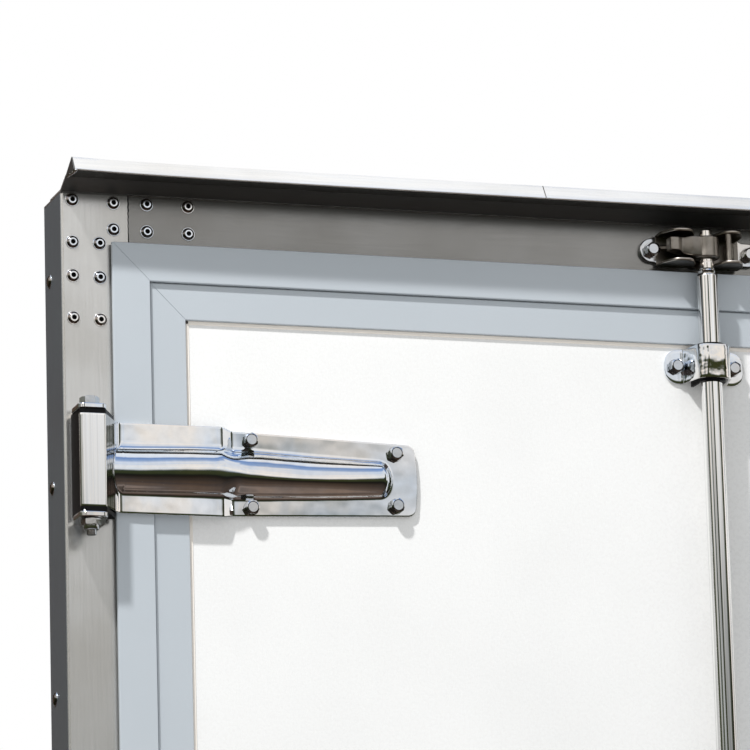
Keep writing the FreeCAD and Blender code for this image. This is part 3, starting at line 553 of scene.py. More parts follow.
def copies(template, places, name):
    """Copies of a template at each place, each with its own mesh, joined into one piece."""
    made = []
    for place in places:
        obj = template.copy()
        obj.data = template.data.copy()
        obj.data.transform(place)
        if place.determinant() < 0:
            obj.data.flip_normals()
        bpy.context.collection.objects.link(obj)
        made.append(obj)
    return joined(name, made)


def discard(template):
    """Removes a template once its copies are made."""
    bpy.data.objects.remove(template)


def facing(point, normal, turn=0.0):
    """The matrix that puts a template's foot at a point, its +Z along a normal."""
    way = Vector(normal).to_track_quat("Z", "Y").to_matrix().to_4x4()
    return Matrix.Translation(point) @ way @ Matrix.Rotation(turn, 4, "Z")


def at_frame(side, z, flip=1):
    """Where a template drawn from the left leaf's outer corner goes: mirrored on the right."""
    return Matrix.Translation((side * LEFT, FRONT, z)) @ Matrix.Diagonal((side, 1, flip, 1))


def at_rod(side, z, flip=1):
    """Where a template drawn round the left rod's axis goes."""
    return Matrix.Translation((side * ROD.x, ROD.y, z)) @ Matrix.Diagonal((side, 1, flip, 1))


def on_front(x, y, z, turn=0.0):
    """Where a fastener goes on a face that looks forwards."""
    return facing(Vector((x, y, z)), (0, -1, 0), turn)


def on_body(obj, body, slot, *nodes):
    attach(obj, body)
    if nodes:
        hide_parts(*nodes)


class DressSolids(Operator):
    """Gives every solid of the frame, the leaves and the locks its finish"""

    bl_idname = "door.dress_solids"
    bl_label = "Dress the solids"

    def execute(self, context):
        slots = {s["node"]: s["material_slot"] for s in frame["record"]["subparts"]}
        for node, obj in NODES.items():
            # The header, the sill and the visor's solid get the darker horizontally brushed steel; the
            # darkening is painted shade.
            level = node in ("header", "sill", "visor")
            paint(obj, "stainless_header" if level else slots[node])
            if node in ("post_left", "post_right"):
                # The posts' side faces, picked by their normals, get the darker steel as painted shade.
                paint(obj, "stainless_side", lambda c, n: abs(n.x) > 0.9)
        return {"FINISHED"}


def bell(half, high, fillet, z):
    """How far a rib stands up at z from its middle: a round crown between hollow corners."""
    z = abs(z)
    if z >= half or high <= 0:
        return 0.0
    both = (half * half + high * high) / (2 * high)
    if half - z < fillet * half / both:
        return fillet - math.sqrt(fillet**2 - (half - z) ** 2)
    crown = both - fillet
    return high - crown + math.sqrt(crown**2 - z * z)


def flank(half, high, steepest, z):
    """How far a rib stands up at z from its middle: a round crown, a straight flank no steeper
    than an angle, and a small hollow at its foot."""
    z = abs(z)
    if z >= half or high <= 0:
        return 0.0
    run, rise = math.cos(steepest), math.sin(steepest)
    both = max(1.0, (half - high * run / rise) * rise / (1 - run))
    hollow = 0.14 * both
    crown = both - hollow
    if z < crown * rise:
        return high - crown + math.sqrt(crown**2 - z * z)
    if half - z < hollow * rise:
        return hollow - math.sqrt(hollow**2 - (half - z) ** 2)
    return hollow * (1 - run) + (half - z - hollow * rise) * rise / run


def eased(start, end, x):
    """0 before start, 1 after end, and smooth between."""
    share = min(1.0, max(0.0, (x - start) / (end - start)))
    return share * share * (3 - 2 * share)


def between(a, b, share):
    """The value that lies at share between a and b."""
    return a + (b - a) * share


def on_both_sides(template, at, spots, name, body, slot, *nodes):
    """Copies of a left-hand template at at(side, *spot) for each spot, on both sides. A star in
    a name stands for left or right."""
    for word, side in SIDES:
        piece = copies(template, [at(side, *spot) for spot in spots], name.replace("*", word))
        stands_for = [node.replace("*", word) for node in nodes]
        on_body(piece, body.replace("*", word), slot, *stands_for)


def fit(template, *rest):
    """Puts copies of a template on both sides, removes it, and gives an operator's result."""
    on_both_sides(template, *rest)
    discard(template)
    return {"FINISHED"}


def strap_template(s):
    """One strap hinge, its pin's height at 0: barrel front, neck, raised part, joggle, foot."""
    stretches = ((30, 60, 1.2), (142, 182, 1.3), (312, 340, 1.3), (346, 360, 0.9))
    sheet = s.strap_sheet / MM
    band, skin = 9, 1
    raised, low = band + sheet, skin + sheet
    barrel, neck, joggle, foot, nose, tip = 29.5, 50, 155.5, 169.5, 320, 358

    def step(x):
        return next((wanted for a, b, wanted in stretches if a <= x <= b), 6.0)

    corners = [(4.5, -40.5, 0), (4.5, -46, 3), (barrel, -46, 3), (neck, -raised, 11)]
    corners += [(joggle, -raised, 11), (foot, -low, 11), (tip, -low, 0)]
    path = rounded_line(corners, False, step)

    def half_height(x):
        if x <= 46.5:
            return between(46, 45, eased(barrel, 46.5, x))
        if x <= 169:
            return between(45, 42.5, eased(155, 170, x))
        tall = between(42.5, 36, (x - 169) / 189)
        if x > 349:
            tall -= 9 - math.sqrt(max(0.0, 81 - (x - 349) ** 2))
        return tall

    def lean(x):
        if x < 150:
            return 4 * (1 - eased(neck, 150, x))
        return 4.8 * math.sin(math.pi * min(1.0, (x - 150) / 172))

    def place(x, y, share):
        z = (share + 0.05 * math.sin(2 * math.pi * share)) * half_height(x)
        along = min(1.0, max(0.0, (x - 169) / 151))
        half = between(s.rib_half, s.rib_tip_half, along) / MM
        crest = between(s.rib_crest - 0.004 * eased(144, 182, x), s.rib_tip_crest, along) / MM
        fillet = between(10, 3.5, eased(150, 200, x))
        tilted = z + lean(x) * max(0.0, 1 - (z / half) ** 2)
        reach = math.hypot(tilted, max(0.0, x - nose) * half / 14)
        y += 0.012 * (max(0.0, z - 27) + min(0.0, z + 27)) * eased(60, 75, x) * (1 - eased(140, 150, x))
        warp = eased(166, 185, x) * (1 - eased(230, 350, x))
        y -= warp * (0.024 * max(0.0, z - 20) + 0.014 * max(0.0, min(z, -20) + 42))

        def rib(high):
            below = flank(half, high, math.atan(1.07 / (1 + 2 * lean(x) / half)), reach)
            return between(below, bell(half, high, fillet, reach), eased(-5, 5, z))

        if x < 54:
            front = raised + rib(crest - raised)
            blend = 2.4 * (1 - eased(40, 52, x)) + 0.01
            ahead = front + y
            if ahead > -blend:
                y -= ahead if ahead > blend else (ahead + blend) ** 2 / (4 * blend)
        else:
            y -= rib(crest + y)
            if z < 0:
                y -= 0.45 * math.exp(-(((reach - 0.79 * half) / 1.2) ** 2))
        bow = 1.5 * (1 - share * share) * eased(335, tip, x)
        return x + bow, y, z

    strap = pressed("strap", path, 60, place, sheet, s.edge / MM)
    paint(strap, "stainless_polished")
    paint(strap, "stainless_barrel", lambda c, n: c.x < 30.5 * MM)
    # The neck's faces that don't look forward get darker steel as painted shade.
    paint(strap, "stainless_neck", lambda c, n: 30.5 * MM <= c.x < 46 * MM and -n.y < 0.8)
    return strap


class Straps(Operator):
    """Makes the pressed strap hinges in place of their solids"""

    bl_idname = "door.straps"
    bl_label = "Strap hinges"

    def execute(self, context):
        strap = strap_template(context.scene.door_hinges)
        return fit(strap, at_frame, HINGES, "straps_*", "door_*", "stainless_polished", "hinge_straps_*")


class Visor(Operator):
    """Makes the rain visor: one sloping sheet with a lip that leans back, and welded cheeks"""

    bl_idname = "door.visor"
    bl_label = "Rain visor"

    def execute(self, context):
        s = context.scene.door_visor
        reach, rise, lip = s.reach / MM, s.rise / MM, s.lip / MM
        back, flange, sheet = s.lean / MM, s.flange / MM, s.sheet / MM
        wide = -LEFT / MM
        crest = (back - reach, rise + lip)
        foot = (-reach, rise)
        knee = (-21, 8.5)

        def lift(x, y):
            return 2.3 * math.exp(-(wide - abs(x)) / 65) * min(1.0, max(0.0, -y / reach))

        def place(y, z, share):
            x = wide * math.sin(share * math.pi / 2)
            return x, y, z + lift(x, y)

        line = [(*crest, 0), (*foot, 1.2), (*knee, 4), (0, 0, 1.5), (flange, 0, 0)]
        parts = [pressed("sheet", rounded_line(line, False), 48, place, sheet, 0.25)]
        # The visor's sheet is given brighter steel as a painted highlight; its underside gets the painted
        # shade below.
        paint(parts[0], "stainless_visor")
        paint(parts[0], "visor_shade", lambda c, n: n.z < -0.8 and c.y < 0)
        corners = [(*crest, 0), (*foot, 0.6), (*knee, 0)]
        corners = [(y, z + lift(wide, y), radius) for y, z, radius in corners]
        butt = [(crest[0] - 0.1, crest[1], 0), (foot[0] - 0.3, foot[1], 0)]
        butt += [(foot[0] + 0.7, foot[1], 0), (crest[0] + 0.9, crest[1], 0)]
        joint = wide - 489
        stand = Matrix(((0, 0, 1, 0), (1, 0, 0, 0), (0, 1, 0, 0), (0, 0, 0, 1)))
        for outline, lows, thick, edge, finish in (
            (corners, (-wide - 0.3, wide - 1.2), sheet, 0.3, "visor_shade"),
            (butt, (-joint - 0.5, joint - 0.5), 1, 0, "stainless_cast"),
        ):
            for low in lows:
                part = shaped("part", outline, low, low + thick, edge)
                part.data.transform(stand)
                paint(part, finish)
                parts.append(part)
        for side in (1, -1):
            for i in range(12):
                share = i / 11
                y = between(foot[0] + 2, knee[0] - 1, share) + 0.8 * math.sin(i * 2.3)
                z = lift(wide, y) + between(rise, knee[1], share) + 0.5 * math.sin(i * 1.7)
                spot = Vector((side * (1.8 - wide), y, z)) * MM
                ball = {"subdivisions": 2, "radius": 1.9 * MM, "location": spot}
                blob = added("blob", bpy.ops.mesh.primitive_ico_sphere_add, **ball)
                paint(blob, "stainless_rim")
                parts.append(blob)
        visor = joined("rain_visor", parts)
        smooth(visor, 30)
        visor.data.transform(Matrix.Translation((0, FRONT, TOP)))
        on_body(visor, "frame", "stainless_brushed", "visor")
        return {"FINISHED"}


class Seams(Operator):
    """Adds the ragged seams beside the corner caps and the sealant round each leaf's skin"""

    bl_idname = "door.seams"
    bl_label = "Seams and sealant"

    def execute(self, context):
        cap_edge, strip_wide, bead_wide = 68.2, 35.7, 4
        line = []
        for i in range(25):
            ragged = cap_edge + 0.35 * math.sin(i * 1.9) + 0.2 * math.sin(i * 4.1)
            line.append((ragged, 1 + i * 2, 0))
        line += [(x + 0.9 + 0.25 * math.sin(z * 3), z, 0) for x, z, _ in reversed(line)]
        seam = shaped_in_front("seam", line, -0.25, 0.5, 0)
        seam.data.transform(Matrix.Rotation(math.pi, 4, "Z") @ Matrix.Scale(-1, 4, (1, 0, 0)))
        paint(seam, "rubber_black")
        places = [at_frame(side, z, flip) for side in (1, -1) for z, flip in ((TOP, -1), (0, 1))]
        on_body(copies(seam, places, "cap_seams"), "frame", "rubber_black")
        discard(seam)
        front = -SKIN / MM
        for word, _ in SIDES:
            low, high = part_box("cover_strip_" + word)
            (x0, _, z0), (x1, _, z1) = ([v / MM for v in corner] for corner in (low, high))
            x0, x1, z0, z1 = x0 + strip_wide, x1 - strip_wide, z0 + strip_wide, z1 - strip_wide
            bars = [(x0, x0 + bead_wide, z0, z1), (x1 - bead_wide, x1, z0, z1)]
            bars += [(x0, x1, z0, z0 + bead_wide), (x0, x1, z1 - bead_wide, z1)]
            parts = []
            for a, b, c, d in bars:
                corners = [(a, c, 0), (b, c, 0), (b, d, 0), (a, d, 0)]
                parts.append(shaped_in_front("bead", corners, front - 0.5, front + 0.9, 0.7))
            bead = joined("sealant_" + word, parts)
            smooth(bead, 60)
            # The bead's cream colour is partly the sealant's own and partly painted light.
            paint(bead, "sealant")
            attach(bead, "door_" + word)
        return {"FINISHED"}


def bracket_template():
    """One hinge bracket on its post: two ears and a web."""
    inner, outer = 51, 56
    web = [(8, -4, 0), (38, -4, 0), (38, 0, 0), (8, 0, 0)]
    ear = [(3.2, -47, 7), (30.8, -47, 7), *web[1:], web[0], (3.2, -19, 2)]
    parts = [shaped("ear", ear, low, low + outer - inner, 0.8) for low in (inner, -outer)]
    parts.append(shaped("web", web, -inner - 0.5, inner + 0.5, 0))
    bracket = joined("bracket", parts)
    smooth(bracket, 20)
    paint(bracket, "stainless_polished")
    return bracket


class Brackets(Operator):
    """Makes the hinge brackets on the posts, two ears and a web each"""

    bl_idname = "door.brackets"
    bl_label = "Hinge brackets"

    def execute(self, context):
        bracket = bracket_template()
        names = ("brackets_*", "frame", "stainless_polished", "hinge_brackets_*")
        return fit(bracket, at_frame, HINGES, *names)


def pin_template(s):
    """One hinge pin: a hexagon bolt with its lock nut below."""
    across = s.across_flats / MM
    collar = across / 2 - 1
    shank = [(4.6, -72), (5, -71.4)]
    for i in range(3):
        shank += [(5, -71.2 + i * 1.4), (4.5, -70.7 + i * 1.4), (5, -70.0 + i * 1.4)]
    shank += [(4.6, -67), (4.6, 56.5)]
    lock = [(collar - 1.6, -67.5), (collar - 0.3, -66.9), (collar, -66), (collar, -62.5)]
    parts = [
        hexagon_head("head", across, 56, 64.5, False, math.radians(20)),
        hexagon_head("nut", across, -63, -56, True, math.radians(11)),
        turned("lock", lock, 32),
        turned("shank", shank, 24),
    ]
    for part in parts[2:]:
        paint(part, "stainless_bolt")
    pin = joined("pin", parts)
    smooth(pin, 30)
    pin.data.transform(Matrix.Translation((17 * MM, -34 * MM, 0)))
    return pin


class HingePins(Operator):
    """Makes the hinge pins: a hexagon bolt with its lock nut below"""

    bl_idname = "door.hinge_pins"
    bl_label = "Hinge pins"

    def execute(self, context):
        pin = pin_template(context.scene.door_hinges)
        return fit(pin, at_frame, HINGES, "hinge_pins_shaped_*", "frame", "stainless_bolt", "hinge_pins_*")


def rod_template(s):
    """One lock rod: tube, weld beads, collars and necks, turned in one."""
    rod = s.rod_radius / MM
    neck = s.neck_radius / MM
    end = [(neck - 0.6, 10.5), (neck, 11.2), (neck, 40.5)]
    end += [(7.2, 41), (7.2, 43.2), (6.8, 43.6), (7.6, 44), (7.7, 44.5), (7.7, 45)]
    end += [(7.7, 50.4), (7.7, 50.8), (7.3, 51.4), (8.2, 51.9), (8.8, 53.2), (8.3, 54.6)]
    end += [(8.1, 55.4), (9.6, 56.1), (10.6, 57), (rod, 58.2), (rod, 59)]
    height = TOP / MM
    profile = end + [(radius, height - z) for radius, z in reversed(end)]
    tube = turned("tube", profile, 64)
    smooth(tube, 35)
    paint(tube, "stainless_rod")
    bead = 57 * MM
    paint(tube, "stainless_rim", lambda c, n: not bead < c.z < TOP - bead)
    return tube


class LockRods(Operator):
    """Makes the lock rods: tube, weld bead, collar and neck, turned in one"""

    bl_idname = "door.lock_rods"
    bl_label = "Lock rods"

    def execute(self, context):
        rod = rod_template(context.scene.door_locks)
        names = ("rod_*", "lock_*", "stainless_rod", "lock_rod_*", "lock_stubs_*")
        return fit(rod, at_rod, [(0,)], *names)


def cam_template(s):
    """One cast cam: a boss on the rod's neck and a hooked claw."""
    radius = s.cam_radius / MM
    half, arm_half = 11, 10.2
    boss = [(radius - 1.4, -half), (radius - 0.4, -10.6), (radius, -9.6), (radius, -9)]
    boss += [(across, -z) for across, z in reversed(boss)]
    claw = [(-8, -10.8, 0), (-18, -10.5, 5), (-27, -5, 4), (-32.5, -8.5, 3)]
    claw += [(-41.5, -8.5, 3), (-41.5, 5, 2.5), (-8, 8, 0)]
    arm = shaped("arm", claw, -arm_half, arm_half, 1.2, 3)
    for vertex in arm.data.vertices:
        share = eased(-17, -35, vertex.co.x / MM)
        top = between(arm_half, 9, share)
        foot = between(-arm_half, -4.5, share)
        middle = (top + foot) / 2
        vertex.co.z = (middle + vertex.co.z / MM / arm_half * (top - foot) / 2) * MM
    cam = joined("cam", [turned("boss", boss, 48), arm])
    smooth(cam, 20)
    paint(cam, "stainless_cam")
    # The arm's faces beside the boss get the darker cast as painted shade; the boss keeps the lighter
    # cast.
    around = (radius + 0.5) * MM
    paint(cam, "stainless_cast", lambda c, n: -33 * MM < c.x < -10 * MM and c.xy.length > around)
    return cam


class LockCams(Operator):
    """Makes the cast cams at both ends of each rod"""

    bl_idname = "door.lock_cams"
    bl_label = "Lock cams"

    def execute(self, context):
        cam = cam_template(context.scene.door_locks)
        return fit(cam, at_rod, ENDS, "cams_*", "lock_*", "stainless_cast", "lock_cams_*")


def half_moon(x, half, reach, low, high):
    """A half-moon flange of a keeper, in plan from the rod's axis."""
    base = 18.5
    front = 22.5 - reach
    left = [
        (x - half, base, 0),
        (x - half * 0.98, base - (base - front) * 0.42, 12),
        (x - half * 0.45, front, 10),
    ]
    return shaped("flange", mirrored(left, x), low, high, 1.1, 3)


def keeper_template(s):
    """One cast keeper that takes a cam between its two pairs of flanges."""
    inner = s.keeper_gap / MM / 2
    outer = inner + s.keeper_flange / MM
    base = [(-65, -12.5, 12.4), (-50, -12.5, 4), (-44, -outer, 4)]
    base += [(38, -outer, 4), (46, -12.5, 4), (65, -12.5, 12.4)]
    base += [(x, -z, radius) for x, z, radius in reversed(base)]
    plate = shaped_in_front("plate", base, 0, 5, 0.9)
    # The web is a thin sheet laid over the plate's middle in the darker cast: painted shade between the
    # flanges.
    web = [(-48, -16.5, 2), (42, -16.5, 2), (42, 16.5, 2), (-48, 16.5, 2)]
    web = shaped_in_front("web", web, 4.5, 5.4, 0.2)
    for part in (plate, web):
        part.data.transform(Matrix.Translation((0, 22.5 * MM, 0)))
    moons = []
    for x, half in ((-28.5, 19), (26, 16)):
        for low in (inner, -outer):
            moons.append(half_moon(x, half, 37.5, low, low + outer - inner))
    stud = turned("stud", [(3.1, -inner - 1), (3.1, inner + 1)], 20)
    stud.data.transform(Matrix.Translation((21.5 * MM, -9 * MM, 0)))
    stop = [(26.6, 17.5, 0), (25.6, 3.5, 2), (32.6, 3.5, 3), (34.6, 17.5, 0)]
    strut = [(-47, 18, 0), (-36, 18, 0), (-34, 8, 1), (-39, 13.5, 4)]
    stop = shaped("stop", stop, -9, 9, 1.2)
    strut = shaped("strut", strut, 1, 4.5, 0.6)
    for part in (web, stop, strut, *moons):
        paint(part, "stainless_cast")
    for part in moons:
        # The flanges' forward faces get a lighter cast as a painted highlight, their undersides a darker
        # one as painted shade.
        paint(part, "stainless_worn", lambda c, n: n.y < -0.3 and abs(n.z) < 0.9)
        paint(part, "cast_shade", lambda c, n: n.z < -0.9)
    paint(stud, "stainless_cam")
    paint(plate, "stainless_bolt")
    keeper = joined("keeper", [plate, web, *moons, stud, stop, strut])
    smooth(keeper, 20)
    return keeper


class Keepers(Operator):
    """Makes the cast keepers that take the cams"""

    bl_idname = "door.keepers"
    bl_label = "Keepers"

    def execute(self, context):
        for end, spot in zip(("top", "bottom"), ENDS):
            keeper = keeper_template(context.scene.door_locks)
            names = ("keeper_%s_cast_*" % end, "frame", "stainless_cast", "keeper_%s_*" % end)
            fit(keeper, at_rod, [spot], *names)
        return {"FINISHED"}


def guide_template(s):
    """One guide, a strip bent over the rod."""
    sheet = s.guide_sheet / MM
    ear, ear_from, ear_radius = 21.5 - sheet, 28.5, 14.5
    path = mirrored([(-43, ear, 0), (-23.5, ear, 3.5), (-16.55, -16.55, 14)])

    def place(x, y, share):
        half = 17.5
        if abs(x) > ear_from:
            half -= ear_radius - math.sqrt(max(0.0, ear_radius**2 - (abs(x) - ear_from) ** 2))
        swell = 0.9 * math.exp(-(((share - 0.12) / 0.45) ** 2)) * (1 - eased(8, 18, abs(x)))
        return x, y - swell, share * half

    guide = pressed("guide", rounded_line(path, False, lambda x: 1.6), 10, place, sheet, 0.7)
    paint(guide, "stainless_guide")
    paint(guide, "stainless_polished", lambda c, n: abs(c.x) > 25 * MM)
    return guide


def liner_template():
    """One nylon bush, bent between its guide and the rod."""
    path = rounded_line(mirrored([(-14, 21.5, 0), (-14, -14, 13.9)]), False, lambda x: 4)
    liner = pressed("liner", path, 2, lambda x, y, share: (x, y, share * 19.8), 2.7, 0.5)
    paint(liner, "nylon_black")
    return liner


class RodGuides(Operator):
    """Makes the guides bent over the rods and their nylon bushes"""

    bl_idname = "door.rod_guides"
    bl_label = "Rod guides"

    def execute(self, context):
        guide = guide_template(context.scene.door_locks)
        fit(guide, at_rod, GUIDES, "guides_*", "door_*", "stainless_polished", "rod_guides_*")
        return fit(liner_template(), at_rod, GUIDES, "bushes_*", "door_*", "nylon_black", "guide_bushes_*")


def handle_template():
    """One lock handle: a hub on the rod and a cranked bar."""
    tip, bar_half, corner = -330, 14, 11
    path = [(tip, -17, 0), (-80, -17, 14), (-45, -3, 8), (-6, -3, 0)]
    path = rounded_line(path, False, lambda x: 1.5 if x < -312 or -92 < x < -38 else 12)

    def place(x, y, share):
        past = min(0.0, x - tip - corner)
        cut = corner - math.sqrt(max(0.0, corner**2 - past**2))
        return x, y, share * (bar_half - cut)

    hub = [(14.4, -17), (15.6, -16.4), (16, -15.2)]
    hub += [(radius, -z) for radius, z in reversed(hub)]
    handle = joined("handle", [pressed("bar", path, 8, place, 6, 1.4), turned("hub", hub, 48)])
    smooth(handle, 35)
    paint(handle, "stainless_cast")
    return handle


class LockHandles(Operator):
    """Makes the lock handles: a hub on the rod and a cranked bar"""

    bl_idname = "door.lock_handles"
    bl_label = "Lock handles"

    def execute(self, context):
        names = ("handle_*", "lock_*", "stainless_cast", "lock_handle_*")
        return fit(handle_template(), at_rod, [(HANDLE_Z,)], *names)


def blind_rivet(context, open_hole):
    """One rivet: a rim, a groove painted dark as painted shade and a raised ring round its
    mandrel's hole if open_hole, or else a low dome, also painted dark as painted shade."""
    s = context.scene.door_fasteners
    r = s.dome_radius / MM
    h = s.dome_height / MM
    hole = s.hole_radius / MM
    ring = hole + 1.75
    profile = [(r, 0), (r, 0.1 * h), (0.96 * r, 0.2 * h), (0.9 * r, 0.2 * h)]
    if open_hole:
        profile += [(0.78 * r, 0.46 * h), (0.68 * r, 0.62 * h), (ring, 0.68 * h)]
        profile += [(hole + 1.6, 0.9 * h), (hole + 1.4, h), (hole + 0.1, h)]
        profile += [(hole, 0.9 * h), (hole * 0.96, 0.1 * h)]
    else:
        profile += [(0.75 * r, 0.5 * h), (0.6 * r, 0.68 * h), (0.4 * r, 0.76 * h), (0.15 * r, 0.8 * h)]
    rivet = turned("rivet", profile, 32)
    smooth(rivet, 40)
    # The rivet is painted in the dark colour as painted shade; its rim and ring stay bright.
    paint(rivet, "stainless_rivet")
    paint(rivet, "stainless_rim", lambda c, n: c.xy.length > 0.89 * r * MM)
    if open_hole:
        inside = hole * MM * 1.01
        paint(rivet, "stainless_rim", lambda c, n: inside < c.xy.length < ring * MM)
        # The mandrel's hole is painted black as painted shade.
        paint(rivet, "rubber_black", lambda c, n: c.xy.length < inside and c.z < 0.9 * h * MM)
    return rivet


class FrameRivets(Operator):
    """Adds the blind rivets in the corners of the frame's face and along its flanges"""

    bl_idname = "door.frame_rivets"
    bl_label = "Frame rivets"

    def execute(self, context):
        spots = [(11.6, 8.4), (11.6, 51.4), (11.6, 85.3), (11.6, 128), (39, 51.5), (39, 86)]
        spots += [(39, 128.8), (53.5, 9.7), (53.5, 36.5), (87.6, 9.3), (87.6, 37.2)]
        spots += [(130, 9.3), (130, 37.2)]
        corners = []
        for side in (1, -1):
            for base, way in ((TOP, -1), (0, 1)):
                for x, z in spots:
                    corners.append(on_front(side * (LEFT + x * MM), FRONT, base + way * z * MM))
        pitch = context.scene.door_fasteners.flange_pitch
        middle, from_top, from_bottom, from_side = FRONT + 46 * MM, 81 * MM, 60 * MM, 30 * MM
        flanges = []
        z = TOP - from_top
        while z > from_bottom:
            for x, way in ((LEFT, -1), (-LEFT, 1)):
                flanges.append(facing(Vector((x, middle, z)), (way, 0, 0)))
            z -= pitch
        x = LEFT + from_side
        while x < -LEFT:
            flanges.append(facing(Vector((x, middle, TOP)), (0, 0, 1)))
            x += pitch
        for name, places, hole in (("corner", corners, True), ("flange", flanges, False)):
            rivet = blind_rivet(context, hole)
            on_body(copies(rivet, places, name + "_rivets"), "frame", "stainless_bolt")
            discard(rivet)
        return {"FINISHED"}


def hexagon_bolt(context):
    """One bolt: a washer and a hexagon head with a turned chamfer."""
    s = context.scene.door_fasteners
    t = s.washer_thickness / MM
    w = s.washer_radius / MM
    washer = turned("washer", [(w - 0.2, 0), (w, 0.2), (w, t - 0.2), (w - 0.2, t)], 32)
    paint(washer, "stainless_bolt")
    head = hexagon_head("head", s.bolt_across / MM, t, t + s.bolt_height / MM)
    bolt = joined("bolt", [head, washer])
    smooth(bolt, 30)
    return bolt


class Bolts(Operator):
    """Adds the bolts of the strap hinges, the keepers and the rod guides"""

    bl_idname = "door.bolts"
    bl_label = "Bolts"

    def execute(self, context):
        bolt = hexagon_bolt(context)
        strap_face = SKIN - context.scene.door_hinges.strap_sheet
        guide_face = SKIN - context.scene.door_locks.guide_sheet
        spots = []
        for i, height in enumerate(HINGE_HEIGHTS):
            for j, (x, z) in enumerate(((187, 33.8), (187, -33.8), (337, 26.4), (337, -26.4))):
                spots.append((x, height + z * MM, (37 * (i * 4 + j)) % 60))

        def on_strap(side, x, z, turn):
            return on_front(side * (LEFT + x * MM), strap_face, z, math.radians(turn))

        def on_keeper(side, x, z):
            return on_front(side * ROD.x + x * MM, FRONT - 5 * MM, z, math.radians(x))

        def on_guide(side, x, z):
            return on_front(side * ROD.x + x * MM, guide_face, z, math.radians(x + z / MM))

        on_both_sides(bolt, on_strap, spots, "strap_bolts_*", "door_*", "stainless_bolt")
        spots = [(x, z) for z in (CAM_DROP, TOP - CAM_DROP) for x in (-53, 53)]
        on_both_sides(bolt, on_keeper, spots, "keeper_bolts_*", "frame", "stainless_bolt")
        spots = [(x, z) for z in GUIDE_HEIGHTS for x in (-31, 31)]
        on_both_sides(bolt, on_guide, spots, "guide_bolts_*", "door_*", "stainless_bolt")
        discard(bolt)
        return {"FINISHED"}


class Stage(Operator):
    """Adds the floor, the lamps, the world and the camera"""

    bl_idname = "door.stage"
    bl_label = "Stage"

    def execute(self, context):
        s = context.scene.door_stage
        plane = {"size": s.floor_size, "location": (0, 0, -0.5 * MM)}
        floor = added("floor", bpy.ops.mesh.primitive_plane_add, **plane)
        material, tree = new_material("floor")
        shaded(tree, {"Base Color": (0.78, 0.78, 0.77, 1), "Roughness": 0.7})
        floor.data.materials.append(material)
        floor.visible_glossy = False
        set_world(s)
        add_lamps(s)
        add_camera()
        context.scene.view_settings.view_transform = "Standard"
        return {"FINISHED"}


SKYLINE = (
    (-180, 64), (-146, 64), (-136, 6), (-100, 5), (-82, 5), (-78, 8), (-72, 1), (-60, 0),
    (-46, 6), (-38, 0), (-22, 0), (-15, 17), (-8, 2), (0, 0), (34, 0), (44, 4), (51, 4),
    (55, 20), (65, 20), (69, -12), (90, -14), (96, 20), (108, 20), (118, 8), (134, 8),
    (146, 30), (180, 64),
)

OUTLOOK = (
    (-90, (0.018, 0.014, 0.011)), (-78, (0.06, 0.045, 0.035)), (-71, (0.10, 0.075, 0.06)),
    (-67, (0.27, 0.20, 0.16)), (-62, (0.13, 0.095, 0.075)), (-48, (0.082, 0.058, 0.045)),
    (-30, (0.045, 0.034, 0.027)), (-17, (0.016, 0.013, 0.010)), (-11, (0.014, 0.014, 0.010)),
    (-6, (0.035, 0.040, 0.018)), (4, (0.042, 0.050, 0.022)), (7, (0.11, 0.12, 0.10)),
    (9.3, (0.45, 0.46, 0.45)), (11, (0.68, 0.665, 0.64)), (13.4, (0.95, 0.92, 0.88)),
    (20, (0.96, 0.93, 0.89)), (32, (0.82, 0.83, 0.86)), (42, (0.80, 0.83, 0.88)),
    (48.5, (0.34, 0.46, 0.70)), (59.5, (0.19, 0.31, 0.58)), (63.5, (0.85, 0.90, 0.98)),
    (82, (0.98, 0.98, 0.98)), (90, (0.70, 0.70, 0.72)),
)


